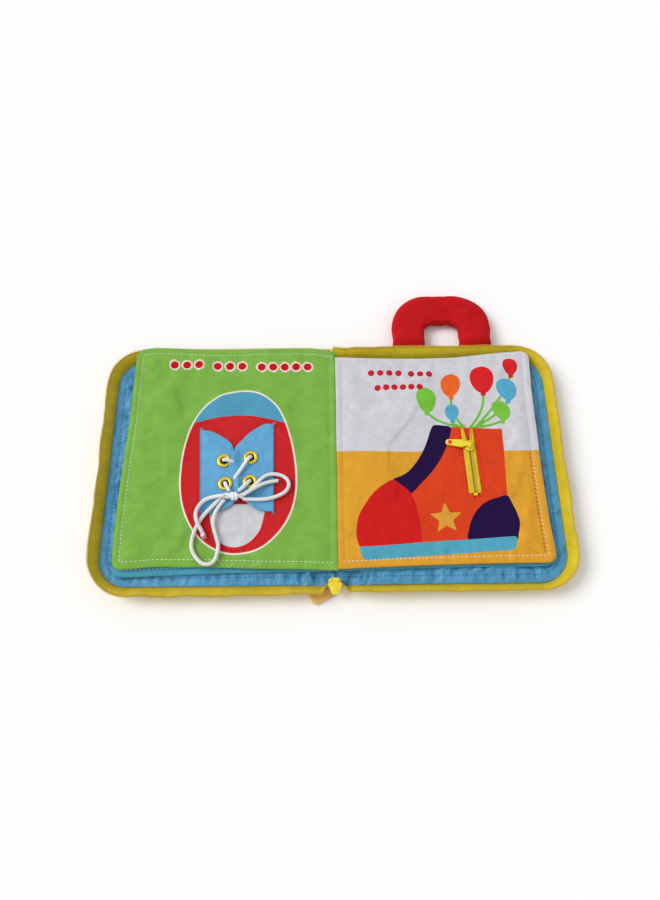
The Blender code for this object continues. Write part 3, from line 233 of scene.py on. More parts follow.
def make_piece(name: str, shape: Shape, finishes: Sequence[Finish], sharp: float = 180.0,
               closed: bool = True) -> Piece:
    """Makes an object at the origin from a shape.

    Args:
        name: the piece's name.
        shape: its points, faces, uv and fields.
        finishes: its material slots.
        sharp: edges that turn by more than this many degrees are drawn sharp.
        closed: whether the faces are turned outwards.

    Returns:
        The object, linked to the scene.
    """
    mesh = bpy.data.meshes.new(name)
    loops = np.concatenate([part.ravel() for part in shape.faces]).astype(np.int32)
    sides = np.concatenate([np.full(len(part), part.shape[1]) for part in shape.faces])
    mesh.vertices.add(len(shape.points))
    mesh.vertices.foreach_set("co", shape.points.astype(np.float32).ravel())
    mesh.loops.add(len(loops))
    mesh.loops.foreach_set("vertex_index", loops)
    mesh.polygons.add(len(sides))
    starts = np.concatenate([[0], np.cumsum(sides)[:-1]]).astype(np.int32)
    mesh.polygons.foreach_set("loop_start", starts)
    mesh.polygons.foreach_set("material_index",
                              np.concatenate(shape.slots).astype(np.int32))
    mesh.update(calc_edges=True)
    mesh.uv_layers.new(name="UVMap").data.foreach_set(
        "uv", shape.uv[loops].astype(np.float32).ravel())
    for key, values in shape.fields.items():
        mesh.attributes.new(key, "FLOAT", "POINT").data.foreach_set(
            "value", values.astype(np.float32))
    if closed:
        sculpt = bmesh.new()
        sculpt.from_mesh(mesh)
        bmesh.ops.recalc_face_normals(sculpt, faces=sculpt.faces)
        sculpt.to_mesh(mesh)
        sculpt.free()
    for finish in finishes:
        mesh.materials.append(finish)
    mesh.shade_smooth()
    if sharp < 180:
        mesh.set_sharp_from_angle(angle=math.radians(sharp))
    piece = bpy.data.objects.new(name, mesh)
    bpy.context.collection.objects.link(piece)
    log.info("%s: %d points, %d faces", name, len(mesh.vertices), len(mesh.polygons))
    return piece


def sewn_on(name: str, shape: Shape, finishes: Sequence[Finish], body: str, node: str = "",
            page: int = 0, sharp: float = 180.0) -> Piece:
    """Makes a piece, rides it on its body, and says what it stands for.

    Args:
        name: the piece's name.
        shape: its shape.
        finishes: its material slots.
        body: the body that it rides on.
        node: the node that it replaces, if any.
        page: -1 or 1 where it lies on the left or right page, and 0 elsewhere.
        sharp: edges that turn by more than this many degrees are drawn sharp.

    Returns:
        The piece.
    """
    piece = make_piece(name, shape, finishes, sharp)
    if page:
        ride_page(piece, body)
    else:
        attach(piece, body)
    if node:
        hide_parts(node)
    return piece


def part_of(shape: Shape, keep: Callable[[Array], Array]) -> Shape:
    """The part of a shape whose faces have middles that pass a test.

    Args:
        shape: the whole shape.
        keep: tells for each of the middles whether its face stays.

    Returns:
        The part, with only its own points.
    """
    chosen = [keep(shape.points[part].mean(axis=1)) for part in shape.faces]
    faces = [part[kept] for part, kept in zip(shape.faces, chosen) if kept.any()]
    slots = [slot[kept] for slot, kept in zip(shape.slots, chosen) if kept.any()]
    used = np.unique(np.concatenate([part.ravel() for part in faces]))
    number = np.zeros(len(shape.points), int)
    number[used] = np.arange(len(used))
    return Shape(shape.points[used], [number[part] for part in faces], shape.uv[used], slots,
                 {name: values[used] for name, values in shape.fields.items()})


def ride_page(piece: Piece, body: str) -> None:
    """Makes a piece ride on a page's body, with a mesh of its own."""
    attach(piece, body)
    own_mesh(piece)


def ripples(x: Array, y: Array, low: float, high: float, seed: int, terms: int = 22) -> Array:
    """Smooth waves: a sum of cosines in random directions, with its spread brought to 1.

    Args:
        x: places along x.
        y: places along y.
        low: shortest wavelength.
        high: longest wavelength.
        seed: start of the random numbers.
        terms: how many cosines are summed.

    Returns:
        Heights with a mean near 0 and a standard deviation near 1.
    """
    rng = np.random.default_rng(seed)
    turn = rng.uniform(0, math.tau, terms)
    number = math.tau / (low * (high / low) ** rng.uniform(0, 1, terms))
    phase = rng.uniform(0, math.tau, terms)
    total = np.zeros(np.broadcast(x, y).shape)
    for a, k, p in zip(turn, number, phase):
        total = total + np.cos(k * (math.cos(a) * x + math.sin(a) * y) + p)
    return total / math.sqrt(terms / 2)


def rise(value: Array, low: float, high: float) -> Array:
    """Goes smoothly from 0 at low to 1 at high, as a cubic step."""
    share = np.clip((value - low) / (high - low), 0, 1)
    return share * share * (3 - 2 * share)


def bump(value: Array, middle: float | Array, width: float) -> Array:
    """A smooth bump of height 1 over its middle, as a bell curve of that half width."""
    return np.exp(-((value - middle) / width) ** 2)


def unit(vectors: Array) -> Array:
    """Vectors brought to a length of 1."""
    return vectors / np.maximum(np.linalg.norm(vectors, axis=-1, keepdims=True), 1e-9)


def run_along(line: Array) -> Array:
    """The way from a line's start to each of its places."""
    return np.concatenate([[0], np.cumsum(np.linalg.norm(np.diff(line, axis=0), axis=1))])


def read_line(at: Array, run: Array, values: Array) -> Array:
    """Values along a line at those ways from its start, in straight steps between its places."""
    return np.stack([np.interp(at, run, values[:, k]) for k in range(values.shape[1])], axis=-1)


def gathers(x: Array, y: Array, side: Array, fore: Array, low: float, seed: int) -> Array:
    """Waves along the stitched edges, 7 mm inside them, that die out on both sides.

    Args:
        x: places along x.
        y: places along y.
        side: distance from the near or far edge.
        fore: distance from the fore-edge.
        low: shortest wavelength.
        seed: start of the random numbers.

    Returns:
        Heights with a standard deviation near 1.
    """
    return (bump(side, 0.007, 0.006) * ripples(x, 0 * x, low, 0.016, seed + 1)
            + bump(fore, 0.007, 0.006) * ripples(y, 0 * y, low, 0.016, seed + 2))


def evenly(line: Array, step: float) -> tuple[Array, Array]:
    """Even places along a line, and the way from its start to each."""
    run = run_along(line)
    at = np.linspace(0, run[-1], int(run[-1] / step))
    return read_line(at, run, line), at


def smooth_line(points: Sequence[Sequence[float]], step: float, ring: bool = False) -> Array:
    """Even places along a Catmull-Rom curve through the given points.

    Args:
        points: the curve's points.
        step: distance between two places.
        ring: whether the curve closes on itself.

    Returns:
        An array of places, with both ends kept, or without the repeated end of a ring.
    """
    p = np.asarray(points, float)
    p = (np.vstack([p[-1], p, p[0], p[1]]) if ring
         else np.vstack([2 * p[0] - p[1], p, 2 * p[-1] - p[-2]]))
    t = np.linspace(0, 1, 24, endpoint=False)[:, None]
    fine = []
    for k in range(1, len(p) - 2):
        a, b, c, d = p[k - 1:k + 3]
        fine.append(0.5 * (2 * b + (c - a) * t + (2 * a - 5 * b + 4 * c - d) * t ** 2
                           + (3 * b - a - 3 * c + d) * t ** 3))
    line = np.vstack(fine + [p[-2][None]])
    run = run_along(line)
    count = max(3, int(round(run[-1] / step)))
    even = read_line(np.linspace(0, run[-1], count + 1), run, line)
    return even[:-1] if ring else even


def inside(outline: Array, x: Array, y: Array) -> Array:
    """Signed distance to a closed outline: the nearest point of its straight edges.

    Args:
        outline: corners in order, an array of x and y.
        x: places along x.
        y: places along y.

    Returns:
        Distances, above 0 within the outline and below 0 outside it.
    """
    a = outline[:, None, :]
    b = np.roll(outline, -1, axis=0)[:, None, :]
    p = np.stack([np.ravel(x), np.ravel(y)], axis=-1)[None]
    edge = b - a
    share = np.clip(((p - a) * edge).sum(-1) / (edge ** 2).sum(-1), 0, 1)
    gap = np.linalg.norm(p - a - share[..., None] * edge, axis=-1).min(axis=0)
    over = (a[..., 1] > p[..., 1]) != (b[..., 1] > p[..., 1])
    level = np.where(edge[..., 1] == 0, 1.0, edge[..., 1])
    cross = a[..., 0] + (p[..., 1] - a[..., 1]) / level * edge[..., 0]
    odd = (over & (p[..., 0] < cross)).sum(axis=0) % 2 == 1
    return np.where(odd, gap, -gap).reshape(np.shape(x))


def oval(x: Array, y: Array, middle: Sequence[float], radii: Sequence[float],
         turn: float = 0.0) -> Array:
    """Nearly the signed distance to an ellipse, above 0 within it.

    Args:
        x: places along x.
        y: places along y.
        middle: the ellipse's middle.
        radii: its two radii.
        turn: its turn in degrees.

    Returns:
        (1 - k) k / |p / r^2|, with k the length of p / r.
    """
    c, s = math.cos(math.radians(turn)), math.sin(math.radians(turn))
    u, v = x - middle[0], y - middle[1]
    u, v = u * c + v * s, v * c - u * s
    k = np.hypot(u / radii[0], v / radii[1])
    steep = np.maximum(np.hypot(u / radii[0] ** 2, v / radii[1] ** 2), 1e-9)
    return (1 - k) * k / steep


def turned_frames(path: Array, up: Sequence[float] = (0, 0, 1)) -> tuple[Array, Array]:
    """Side and upward directions along a path.

    Args:
        path: places along the path.
        up: the direction that the upward one keeps close to.

    Returns:
        Two arrays of unit vectors.
    """
    ahead = unit(np.gradient(path, axis=0))
    side = unit(np.cross(ahead, np.asarray(up, float)))
    return side, np.cross(side, ahead)


def tube(path: Array, radius: Array | float, sides: int = 12, slot: int = 0,
         up: Sequence[float] = (0, 0, 1), flat: float = 1.0) -> Shape:
    """A round or flattened tube: circles carried along a path, closed by a point at each end.

    Args:
        path: places along its middle line.
        radius: its radius, or one for each place.
        sides: points round it.
        slot: its material slot.
        up: the direction that its seam keeps to.
        flat: its height against its width.

    Returns:
        A closed shape, with uv as the way round it and the way along it.
    """
    size = np.broadcast_to(radius, len(path))[:, None, None]
    side, over = turned_frames(path, up)
    turn = np.linspace(0, math.tau, sides, endpoint=False)[None, :, None]
    ring = path[:, None] + size * (np.cos(turn) * side[:, None]
                                   + flat * np.sin(turn) * over[:, None])
    run = run_along(path)
    round_it = turn.ravel() * float(np.mean(size))
    uv = np.stack(np.meshgrid(run, round_it, indexing="ij")[::-1], axis=-1).reshape(-1, 2)
    return shaped(np.concatenate([ring.reshape(-1, 3), path[[0, -1]]]),
                  pointed(len(path), sides), slot, np.concatenate([uv, [[0, 0], [0, run[-1]]]]))


def lathe(profile: Sequence[Sequence[float]], middle: Sequence[float], sides: int,
          slot: int = 0) -> Shape:
    """A ring turned about an upright axis: a closed profile at each turn round the middle.

    Args:
        profile: radius and height of each point of the section, in order round it.
        middle: x and y of the axis.
        sides: sections in one turn.
        slot: its material slot.

    Returns:
        A closed shape.
    """
    section = np.asarray(profile, float)
    turn = np.linspace(0, math.tau, sides, endpoint=False)
    x = middle[0] + np.outer(np.cos(turn), section[:, 0])
    y = middle[1] + np.outer(np.sin(turn), section[:, 0])
    z = np.broadcast_to(section[:, 1], x.shape)
    count = len(section)
    faces = [quads(sides + 1, count, wrap=True) % (sides * count)]
    return shaped(np.stack([x, y, z], axis=-1), faces, slot)


def pillow(top: Array, bottom: Array, uv: Array, bulge: float = 0.0,
           slots: tuple[int, int, int] = (0, 0, 0),
           fields: dict[str, Array] | None = None) -> Shape:
    """A closed pad: an upper and a lower grid, joined by a rounded strip round their rim.

    The strip's middle line is the mean of the two rims, moved out by the bulge along the
    level normal of the rim.

    Args:
        top: upper grid of points.
        bottom: lower grid of points.
        uv: uv of both grids.
        bulge: how far the rim's middle line stands out.
        slots: material slots of the upper face, the lower face and the rim.
        fields: numbers on the grid, for both faces and the rim.

    Returns:
        A closed shape.
    """
    rows, cols = top.shape[:2]
    number = np.arange(rows * cols).reshape(rows, cols)
    rim = np.concatenate([number[:-1, 0], number[-1, :-1], number[:0:-1, -1], number[0, :0:-1]])
    upper, lower = top.reshape(-1, 3), bottom.reshape(-1, 3)
    middle = (upper[rim] + lower[rim]) / 2
    ahead = np.roll(middle, -1, axis=0) - np.roll(middle, 1, axis=0)
    out = unit(np.stack([ahead[:, 1], -ahead[:, 0]], axis=-1))
    centre = middle[:, :2].mean(axis=0)
    if ((middle[:, :2] - centre) * out).sum() < 0:
        out = -out
    middle[:, :2] += bulge * out
    base = 2 * rows * cols
    a, b = np.arange(len(rim)), (np.arange(len(rim)) + 1) % len(rim)
    up = np.stack([rim[a], rim[b], base + b, base + a], axis=-1)
    down = np.stack([base + a, base + b, rows * cols + rim[b], rows * cols + rim[a]], axis=-1)
    sheet = quads(rows, cols)
    faces = [sheet, sheet[:, ::-1] + rows * cols, up, down]
    flat = uv.reshape(-1, 2)
    kept = {key: np.concatenate([np.ravel(v), np.ravel(v), np.ravel(v)[rim]])
            for key, v in (fields or {}).items()}
    return Shape(np.concatenate([upper, lower, middle]), faces,
                 np.concatenate([flat, flat, flat[rim] + bulge * out]),
                 [np.full(len(sheet), slots[0]), np.full(len(sheet), slots[1]),
                  np.full(len(up), slots[2]), np.full(len(down), slots[2])], kept)


def stitches(path: Array, over: Array, pitch: float, length: float, radius: float,
             slot: int = 0) -> Shape:
    """A row of sewn stitches: short threads that rise and dip into the cloth.

    Each is a six-sided tube of five rings whose height follows half a sine, so its two ends
    are under the cloth.

    Args:
        path: the seam's line on the cloth.
        over: the cloth's upward normal along that line.
        pitch: distance from one stitch to the next.
        length: length of the thread that shows.
        radius: half the thread's width.
        slot: its material slot.

    Returns:
        One shape with all the stitches.
    """
    run = run_along(path)
    starts = np.arange(pitch / 2, run[-1] - length, pitch)
    share = np.linspace(0, 1, 5)
    places = starts[:, None] + share[None] * length
    spot, normal = read_line(places, run, path), read_line(places, run, over)
    side = np.cross(unit(spot[:, -1:] - spot[:, :1]), normal)
    lift = radius * (1.5 * np.sin(math.pi * share) - 0.9)[None, :, None]
    middle = spot + normal * lift
    turn = np.linspace(0, math.tau, 6, endpoint=False)
    size = radius * np.array([0.55, 1, 1.1, 1, 0.55])[None, :, None, None]
    ring = middle[:, :, None] + size * (np.cos(turn)[None, None, :, None] * side[:, :, None]
                                        + np.sin(turn)[None, None, :, None] * normal[:, :, None])
    uv = np.stack([np.repeat(places, 6, axis=1).ravel(),
                   np.tile(turn * radius, len(starts) * 5)], axis=-1)
    return shaped(ring, capped(5, 6, len(starts)), slot, uv)


def coil_turns(middle: Array, reach: Array, wide: Array, tall: Array) -> Shape:
    """The turns of a coil: one bead for each place.

    A bead is a ring of eight points carried over five places, whose radius follows the
    square root of 1 - t squared, so both its ends are round.

    Args:
        middle: the beads' middles.
        reach: half of each bead, along it.
        wide: half of each bead, along the zip.
        tall: half of each bead, off the tape.

    Returns:
        One shape with all the beads.
    """
    share = np.array([-1, -0.72, 0.0, 0.72, 1])
    size = np.sqrt(np.maximum(1 - share ** 2, 0.16))
    turn = np.linspace(0, math.tau, 8, endpoint=False)
    core = middle[:, None] + reach[:, None] * share[None, :, None]
    ring = core[:, :, None] + size[None, :, None, None] * (
        np.cos(turn)[None, None, :, None] * wide[:, None, None]
        + np.sin(turn)[None, None, :, None] * tall[:, None, None])
    return shaped(ring, capped(5, 8, len(middle)))


# Finishes


class Weave(Enum):
    """Directions of the two waves whose product draws a weave."""

    PLAIN = ((1.0, 0.0, 0.0), (0.0, 1.0, 0.0))
    TWILL = ((1.0, 1.0, 0.0), (0.9, -0.4, 0.0))
    BRAID = ((1.0, 1.0, 0.0), (1.0, -1.0, 0.0))
    RIB = ((1.0, 0.0, 0.0), (0.15, 0.35, 0.0))


@dataclass(frozen=True)
class Ink:
    """A printed colour: it lies where an attribute of the mesh is above a limit."""

    attribute: str
    colour: str
    above: float = 0.0


@dataclass(frozen=True)
class Cloth:
    """A woven cloth. Its threads follow the uv map, which is in metres.

    colour is its dye, thread the spacing of its threads, relief and crumple the height of
    its weave and of its soft creases, all in metres.
    """

    name: str
    colour: str
    weave: Weave
    thread: float
    roughness: float
    relief: float
    crumple: float
    crumple_size: float = 0.014
    sheen: float = 0.03
    dye_and_crease_shade: float = 0.10
    gloss: float = 0.06
    inks: tuple[Ink, ...] = ()

    def dress(self) -> Finish:
        """Builds the material.

        The weave is the product of two sine waves across the threads, and its hollows are a
        little darker, as painted shade. Soft noise lifts faint creases and varies the colour with
        them: partly uneven dye, partly painted shade that is darker in the creases' hollows.

        Returns:
            The material.
        """
        finish, tree, shader = blank_finish(self.name)
        place = add(tree, "ShaderNodeTexCoord")
        scaled = add(tree, "ShaderNodeVectorMath", {0: place.outputs["UV"],
                                                    "Scale": math.pi / self.thread},
                     operation="SCALE")
        waves = []
        for direction in self.weave.value:
            across = add(tree, "ShaderNodeVectorMath", {0: scaled.outputs[0], 1: direction},
                         operation="DOT_PRODUCT")
            waves.append(compute(tree, "SINE", across.outputs["Value"]))
        weave = compute(tree, "MULTIPLY", *waves)
        soft = add(tree, "ShaderNodeTexNoise", {"Vector": place.outputs["Object"],
                                                "Scale": 1 / self.crumple_size, "Detail": 3.0,
                                                "Roughness": 0.55})
        dye = add(tree, "ShaderNodeTexNoise", {"Vector": place.outputs["Object"],
                                               "Scale": 260.0, "Detail": 2.0})
        colour: Socket | tuple[float, ...] = linear(self.colour)
        for ink in self.inks:
            mark = add(tree, "ShaderNodeAttribute", attribute_name=ink.attribute)
            mask = compute(tree, "GREATER_THAN", mark.outputs["Fac"], ink.above)
            colour = add(tree, "ShaderNodeMix", {0: mask, 6: colour, 7: linear(ink.colour)},
                         data_type="RGBA").outputs[2]
        if not isinstance(colour, Socket):
            colour = add(tree, "ShaderNodeRGB").outputs[0]
            colour.default_value = linear(self.colour)
        # Uneven dye and painted shade in one: the colour follows the crease noise, darker in its
        # hollows.
        dye_and_crease_shade_level = ranged(tree, soft.outputs["Fac"], (0.3, 0.7),
                        (1 - self.dye_and_crease_shade, 1 + self.dye_and_crease_shade * 0.4))
        fleck = ranged(tree, dye.outputs["Fac"], (0.3, 0.7), (0.95, 1.03))
        # Painted shade: the weave's hollows are drawn darker.
        hollow = ranged(tree, weave, (-1.0, 1.0), (0.93, 1.03))
        level = compute(tree, "MULTIPLY", dye_and_crease_shade_level, fleck)
        level = compute(tree, "MULTIPLY", level, hollow)
        final = add(tree, "ShaderNodeVectorMath", {0: colour, "Scale": level},
                    operation="SCALE")
        tree.links.new(final.outputs[0], shader.inputs["Base Color"])
        creases = add(tree, "ShaderNodeBump", {"Height": soft.outputs["Fac"],
                                               "Distance": self.crumple, "Strength": 1.0})
        threads = add(tree, "ShaderNodeBump", {"Height": weave,
                                               "Distance": self.relief, "Strength": 0.8,
                                               "Normal": creases.outputs[0]})
        tree.links.new(threads.outputs[0], shader.inputs["Normal"])
        shader.inputs["Roughness"].default_value = self.roughness
        shader.inputs["Sheen Weight"].default_value = self.sheen
        shader.inputs["Sheen Roughness"].default_value = 0.5
        shader.inputs["Specular IOR Level"].default_value = self.gloss
        return finish


@dataclass(frozen=True)
class Moulded:
    """A moulded or metal finish with fine flow marks and a little wear.

    grain is the size of its marks in metres and relief their height.
    """

    name: str
    colour: str
    worn: str
    roughness: float
    metallic: float = 0.0
    grain: float = 0.0012
    relief: float = 0.00002
    coat: float = 0.0

    def dress(self) -> Finish:
        """Builds the material: noise mixes the worn colour in and varies the gloss.

        Returns:
            The material.
        """
        finish, tree, shader = blank_finish(self.name)
        place = add(tree, "ShaderNodeTexCoord")
        marks = add(tree, "ShaderNodeTexNoise", {"Vector": place.outputs["Object"],
                                                 "Scale": 1 / self.grain, "Detail": 4.0})
        wear = ranged(tree, marks.outputs["Fac"], (0.45, 0.75), (0.0, 0.6))
        colour = add(tree, "ShaderNodeMix", {0: wear, 6: linear(self.colour),
                                             7: linear(self.worn)}, data_type="RGBA")
        tree.links.new(colour.outputs[2], shader.inputs["Base Color"])
        gloss = ranged(tree, marks.outputs["Fac"], (0.3, 0.7),
                       (self.roughness - 0.05, self.roughness + 0.08))
        tree.links.new(gloss, shader.inputs["Roughness"])
        rough = add(tree, "ShaderNodeBump", {"Height": marks.outputs["Fac"],
                                             "Distance": self.relief, "Strength": 0.6})
        tree.links.new(rough.outputs[0], shader.inputs["Normal"])
        shader.inputs["Metallic"].default_value = self.metallic
        shader.inputs["Coat Weight"].default_value = self.coat
        return finish


# The threads of the page cloths are 0.35 mm apart on the real book, and are drawn at 0.8 mm
# so that they show.
SHOE_INKS = (
    Ink("shoe", "#F2E9DC", -0.0008), Ink("shoe", "#CE1A20", 0.0007),
    Ink("shoe_cap", "#4F9FBF"), Ink("shoe_toe", "#D6D5DA"),
    Ink("dots", "#F2DCD2", -0.0010), Ink("dots", "#C8181C"),
)
BOOT_INKS = (
    Ink("ground", "#E0A232"), Ink("strings", "#6FBE3E"),
    Ink("balloon_green", "#79C341"), Ink("balloon_red", "#D8252A"),
    Ink("balloon_orange", "#F0682E"), Ink("balloon_blue", "#58A9CC"),
    Ink("boot", "#DE4420"), Ink("boot_strip", "#241142"), Ink("boot_toe", "#D2201F"),
    Ink("boot_heel", "#241142"), Ink("boot_sole", "#55A8C2"), Ink("boot_star", "#DFA13A"),
    Ink("dots", "#C8252C"),
)


class Book(Enum):
    """The book's finishes: what each is, and what that gives the eye."""

    # Printed plain-weave cotton: matt, a faint grid of threads, uneven dye and painted crease shade
    SHOE_PAGE = Cloth("printed_green_cotton", "#7FB648", Weave.PLAIN, 0.0008, 0.88, 0.00006,
                      0.0012, inks=SHOE_INKS)
    BOOT_PAGE = Cloth("printed_white_cotton", "#D3D2D8", Weave.PLAIN, 0.0008, 0.88, 0.00006,
                      0.0012, dye_and_crease_shade=0.06, inks=BOOT_INKS)
    WHITE_PAGE = Cloth("white_page_cotton", "#DAD9DE", Weave.PLAIN, 0.0008, 0.88, 0.00006,
                       0.0012, dye_and_crease_shade=0.06)
    TEAL_PAGE = Cloth("teal_page_cotton", "#4FA3BE", Weave.PLAIN, 0.0008, 0.88, 0.00006,
                      0.0012)
    # Nylon taffeta: thin and crisp, so its many creases catch a soft gloss
    # Its colour follows its creases strongly: uneven dye and painted shade in their hollows.
    LINING = Cloth("blue_nylon_taffeta", "#4C9AC8", Weave.RIB, 0.0006, 0.46, 0.00003, 0.0030,
                   crumple_size=0.011, sheen=0.12, dye_and_crease_shade=0.18, gloss=0.40)
    # Cotton twill: matt, with fine slanting ribs
    OUTER = Cloth("blue_cotton_twill", "#2F79AE", Weave.TWILL, 0.0010, 0.85, 0.00010, 0.0010)
    HANDLE = Cloth("red_cotton_sateen", "#C4141B", Weave.PLAIN, 0.0007, 0.72, 0.00004, 0.0014,
                   crumple_size=0.018, gloss=0.08)
    FLAP = Cloth("blue_cotton_flap", "#69AEDA", Weave.PLAIN, 0.0008, 0.85, 0.00006, 0.0010)
    # Woven polyester zip tape: narrow ribs that run along the tape. The left one is a copy,
    # a little duller, as painted shade for the left side.
    TAPE = Cloth("yellow_polyester_tape", "#DDC22F", Weave.RIB, 0.0007, 0.75, 0.00008, 0.0005,
                 dye_and_crease_shade=0.14)
    LEFT_TAPE_SHADED_COPY = Cloth("left_tape_painted_shade", "#DEC136", Weave.RIB, 0.0007, 0.75, 0.00008,
                      0.0005, dye_and_crease_shade=0.14)
    TAPE_END = Cloth("orange_polyester_tape", "#F6C274", Weave.RIB, 0.0007, 0.78, 0.00008,
                     0.0008)
    # Braided polyester cord: crossing strands, matt white
    LACE = Cloth("white_braided_cord", "#F6F6F6", Weave.BRAID, 0.0011, 0.80, 0.00022, 0.0,
                 dye_and_crease_shade=0.05)
    # Spun polyester sewing thread
    WHITE_THREAD = Cloth("white_sewing_thread", "#F1F2EC", Weave.TWILL, 0.0004, 0.75, 0.00003,
                         0.0, dye_and_crease_shade=0.05)
    BLUE_THREAD = Cloth("blue_sewing_thread", "#2F78A8", Weave.TWILL, 0.0004, 0.70, 0.00003,
                        0.0, dye_and_crease_shade=0.05)
    ORANGE_THREAD = Cloth("orange_sewing_thread", "#B23A18", Weave.TWILL, 0.0004, 0.75,
                          0.00003, 0.0, dye_and_crease_shade=0.05)
    # Nylon coil: smooth monofilament, so each turn has a small highlight
    COIL = Moulded("yellow_nylon_coil", "#CFB02C", "#B3921C", 0.34)
    # Acetal, injection moulded: even and slightly waxy
    PLASTIC = Moulded("yellow_moulded_acetal", "#EBD51E", "#D9BE17", 0.33, coat=0.15)
    # Brass with a yellow lacquer: bright rim, small scuffs
    BRASS = Moulded("lacquered_brass", "#D8BE42", "#B99A2C", 0.27, metallic=0.85,
                    relief=0.00003)
    # Painted shade: a black disc under each eyelet stands for the shadow in the hole
    EYELET_SHADE = Moulded("painted_eyelet_shade", "#0B0A0C", "#151316", 0.95)
    RIVET = Moulded("red_moulded_button", "#CE2A1C", "#A81E15", 0.38)


def dressed() -> dict[Book, Finish]:
    """Makes every finish once."""
    return {finish: finish.value.dress() for finish in Book}


# Settled cloth


def spline_weights(places: Array, count: int) -> Array:
    """Weights that read a row of even samples at any place, as a cubic Catmull-Rom curve.

    Args:
        places: shares from 0 to 1 along the row.
        count: number of samples.

    Returns:
        One row of weights for each place.
    """
    spot = np.clip(places, 0, 1) * (count - 1)
    first = np.clip(np.floor(spot).astype(int), 0, count - 2)
    t = spot - first
    parts = np.stack([-0.5 * t ** 3 + t ** 2 - 0.5 * t, 1.5 * t ** 3 - 2.5 * t ** 2 + 1,
                      -1.5 * t ** 3 + 2 * t ** 2 + 0.5 * t, 0.5 * t ** 3 - 0.5 * t ** 2])
    weights = np.zeros((len(spot), count))
    rows = np.arange(len(spot))
    for k in range(4):
        np.add.at(weights, (rows, np.clip(first + k - 1, 0, count - 1)), parts[k])
    return weights


def refined(coarse: Array, fine: Array) -> Array:
    """Reads a coarse grid at the places of a finer one over the same area.

    Args:
        coarse: a grid of values.
        fine: any grid with the layout that is wanted.

    Returns:
        The coarse grid's values in that layout, along smooth curves.
    """
    rows, cols = (spline_weights(np.linspace(0, 1, new), old)
                  for new, old in zip(fine.shape, coarse.shape))
    return rows @ coarse @ cols.T


@dataclass
class Settling:
    """A run of Blender's Cloth on a coarse grid.

    The cloth is cut a little too large and held along its seams, so it wrinkles as sewn
    cloth does.
    """

    ease: float = 0.03
    pressure: float = 0.0
    stiffness: float = 8.0
    bending: float = 0.15
    frames: int = 20
    cap: float = 0.003

    def run(self, name: str, points: Array, held: Array, wrap: bool = False) -> Array:
        """Settles the cloth.

        Args:
            name: a name for the passing object.
            points: grid of places, rows by columns by 3.
            held: how firmly each place is held, from 0 to 1.
            wrap: whether each row closes on itself.

        Returns: How far each place has moved, no further than the cap.
        """
        rows, cols = points.shape[:2]
        mesh = bpy.data.meshes.new(name)
        mesh.from_pydata(points.reshape(-1, 3).tolist(), [],
                         quads(rows, cols, wrap=wrap).tolist())
        cloth = bpy.data.objects.new(name, mesh)
        bpy.context.collection.objects.link(cloth)
        group = cloth.vertex_groups.new(name="held")
        for number, weight in enumerate(held.ravel()):
            if weight > 0:
                group.add([number], float(weight), "REPLACE")
        worn = cloth.modifiers.new("settle", "CLOTH")
        worn.settings.quality = 6
        worn.settings.mass = 0.15
        worn.settings.tension_stiffness = self.stiffness
        worn.settings.compression_stiffness = self.stiffness
        worn.settings.shear_stiffness = self.stiffness
        worn.settings.bending_stiffness = self.bending
        worn.settings.air_damping = 2.0
        worn.settings.shrink_min = -self.ease
        worn.settings.vertex_group_mass = "held"
        worn.settings.pin_stiffness = 1.0
        worn.settings.effector_weights.gravity = 0.0
        if self.pressure:
            worn.settings.use_pressure = True
            worn.settings.uniform_pressure_force = self.pressure
        worn.point_cache.frame_start = 1
        worn.point_cache.frame_end = self.frames
        scene = bpy.context.scene
        for frame in range(1, self.frames + 1):
            scene.frame_set(frame)
        settled = cloth.evaluated_get(bpy.context.evaluated_depsgraph_get())
        places = np.empty(rows * cols * 3, np.float32)
        settled.data.vertices.foreach_get("co", places)
        moved = places.reshape(rows, cols, 3).astype(float) - points
        bpy.data.objects.remove(cloth, do_unlink=True)
        bpy.data.meshes.remove(mesh)
        scene.frame_set(1)
        far = np.linalg.norm(moved, axis=-1, keepdims=True)
        log.info("%s settled: moved up to %.2f mm", name, 1000 * float(far.max()))
        return moved * np.minimum(1, self.cap / np.maximum(far, 1e-9))


# The book's sizes


# Half the depth of a cover, the middle of its fore-edge's zip seam and its corners' radius
HALF_DEPTH = 0.1045
FORE_X = 0.1935
COVER_CORNER = 0.025
# Heights of the undersides of a lower and an upper leaf
LOWER_LEAF = 0.0061
UPPER_LEAF = 0.0105
# Half the thickness of the quilting thread
THREAD = 0.00030
# How far the book's zip tape stands outside its seam
TAPE_STANDS = 0.0122


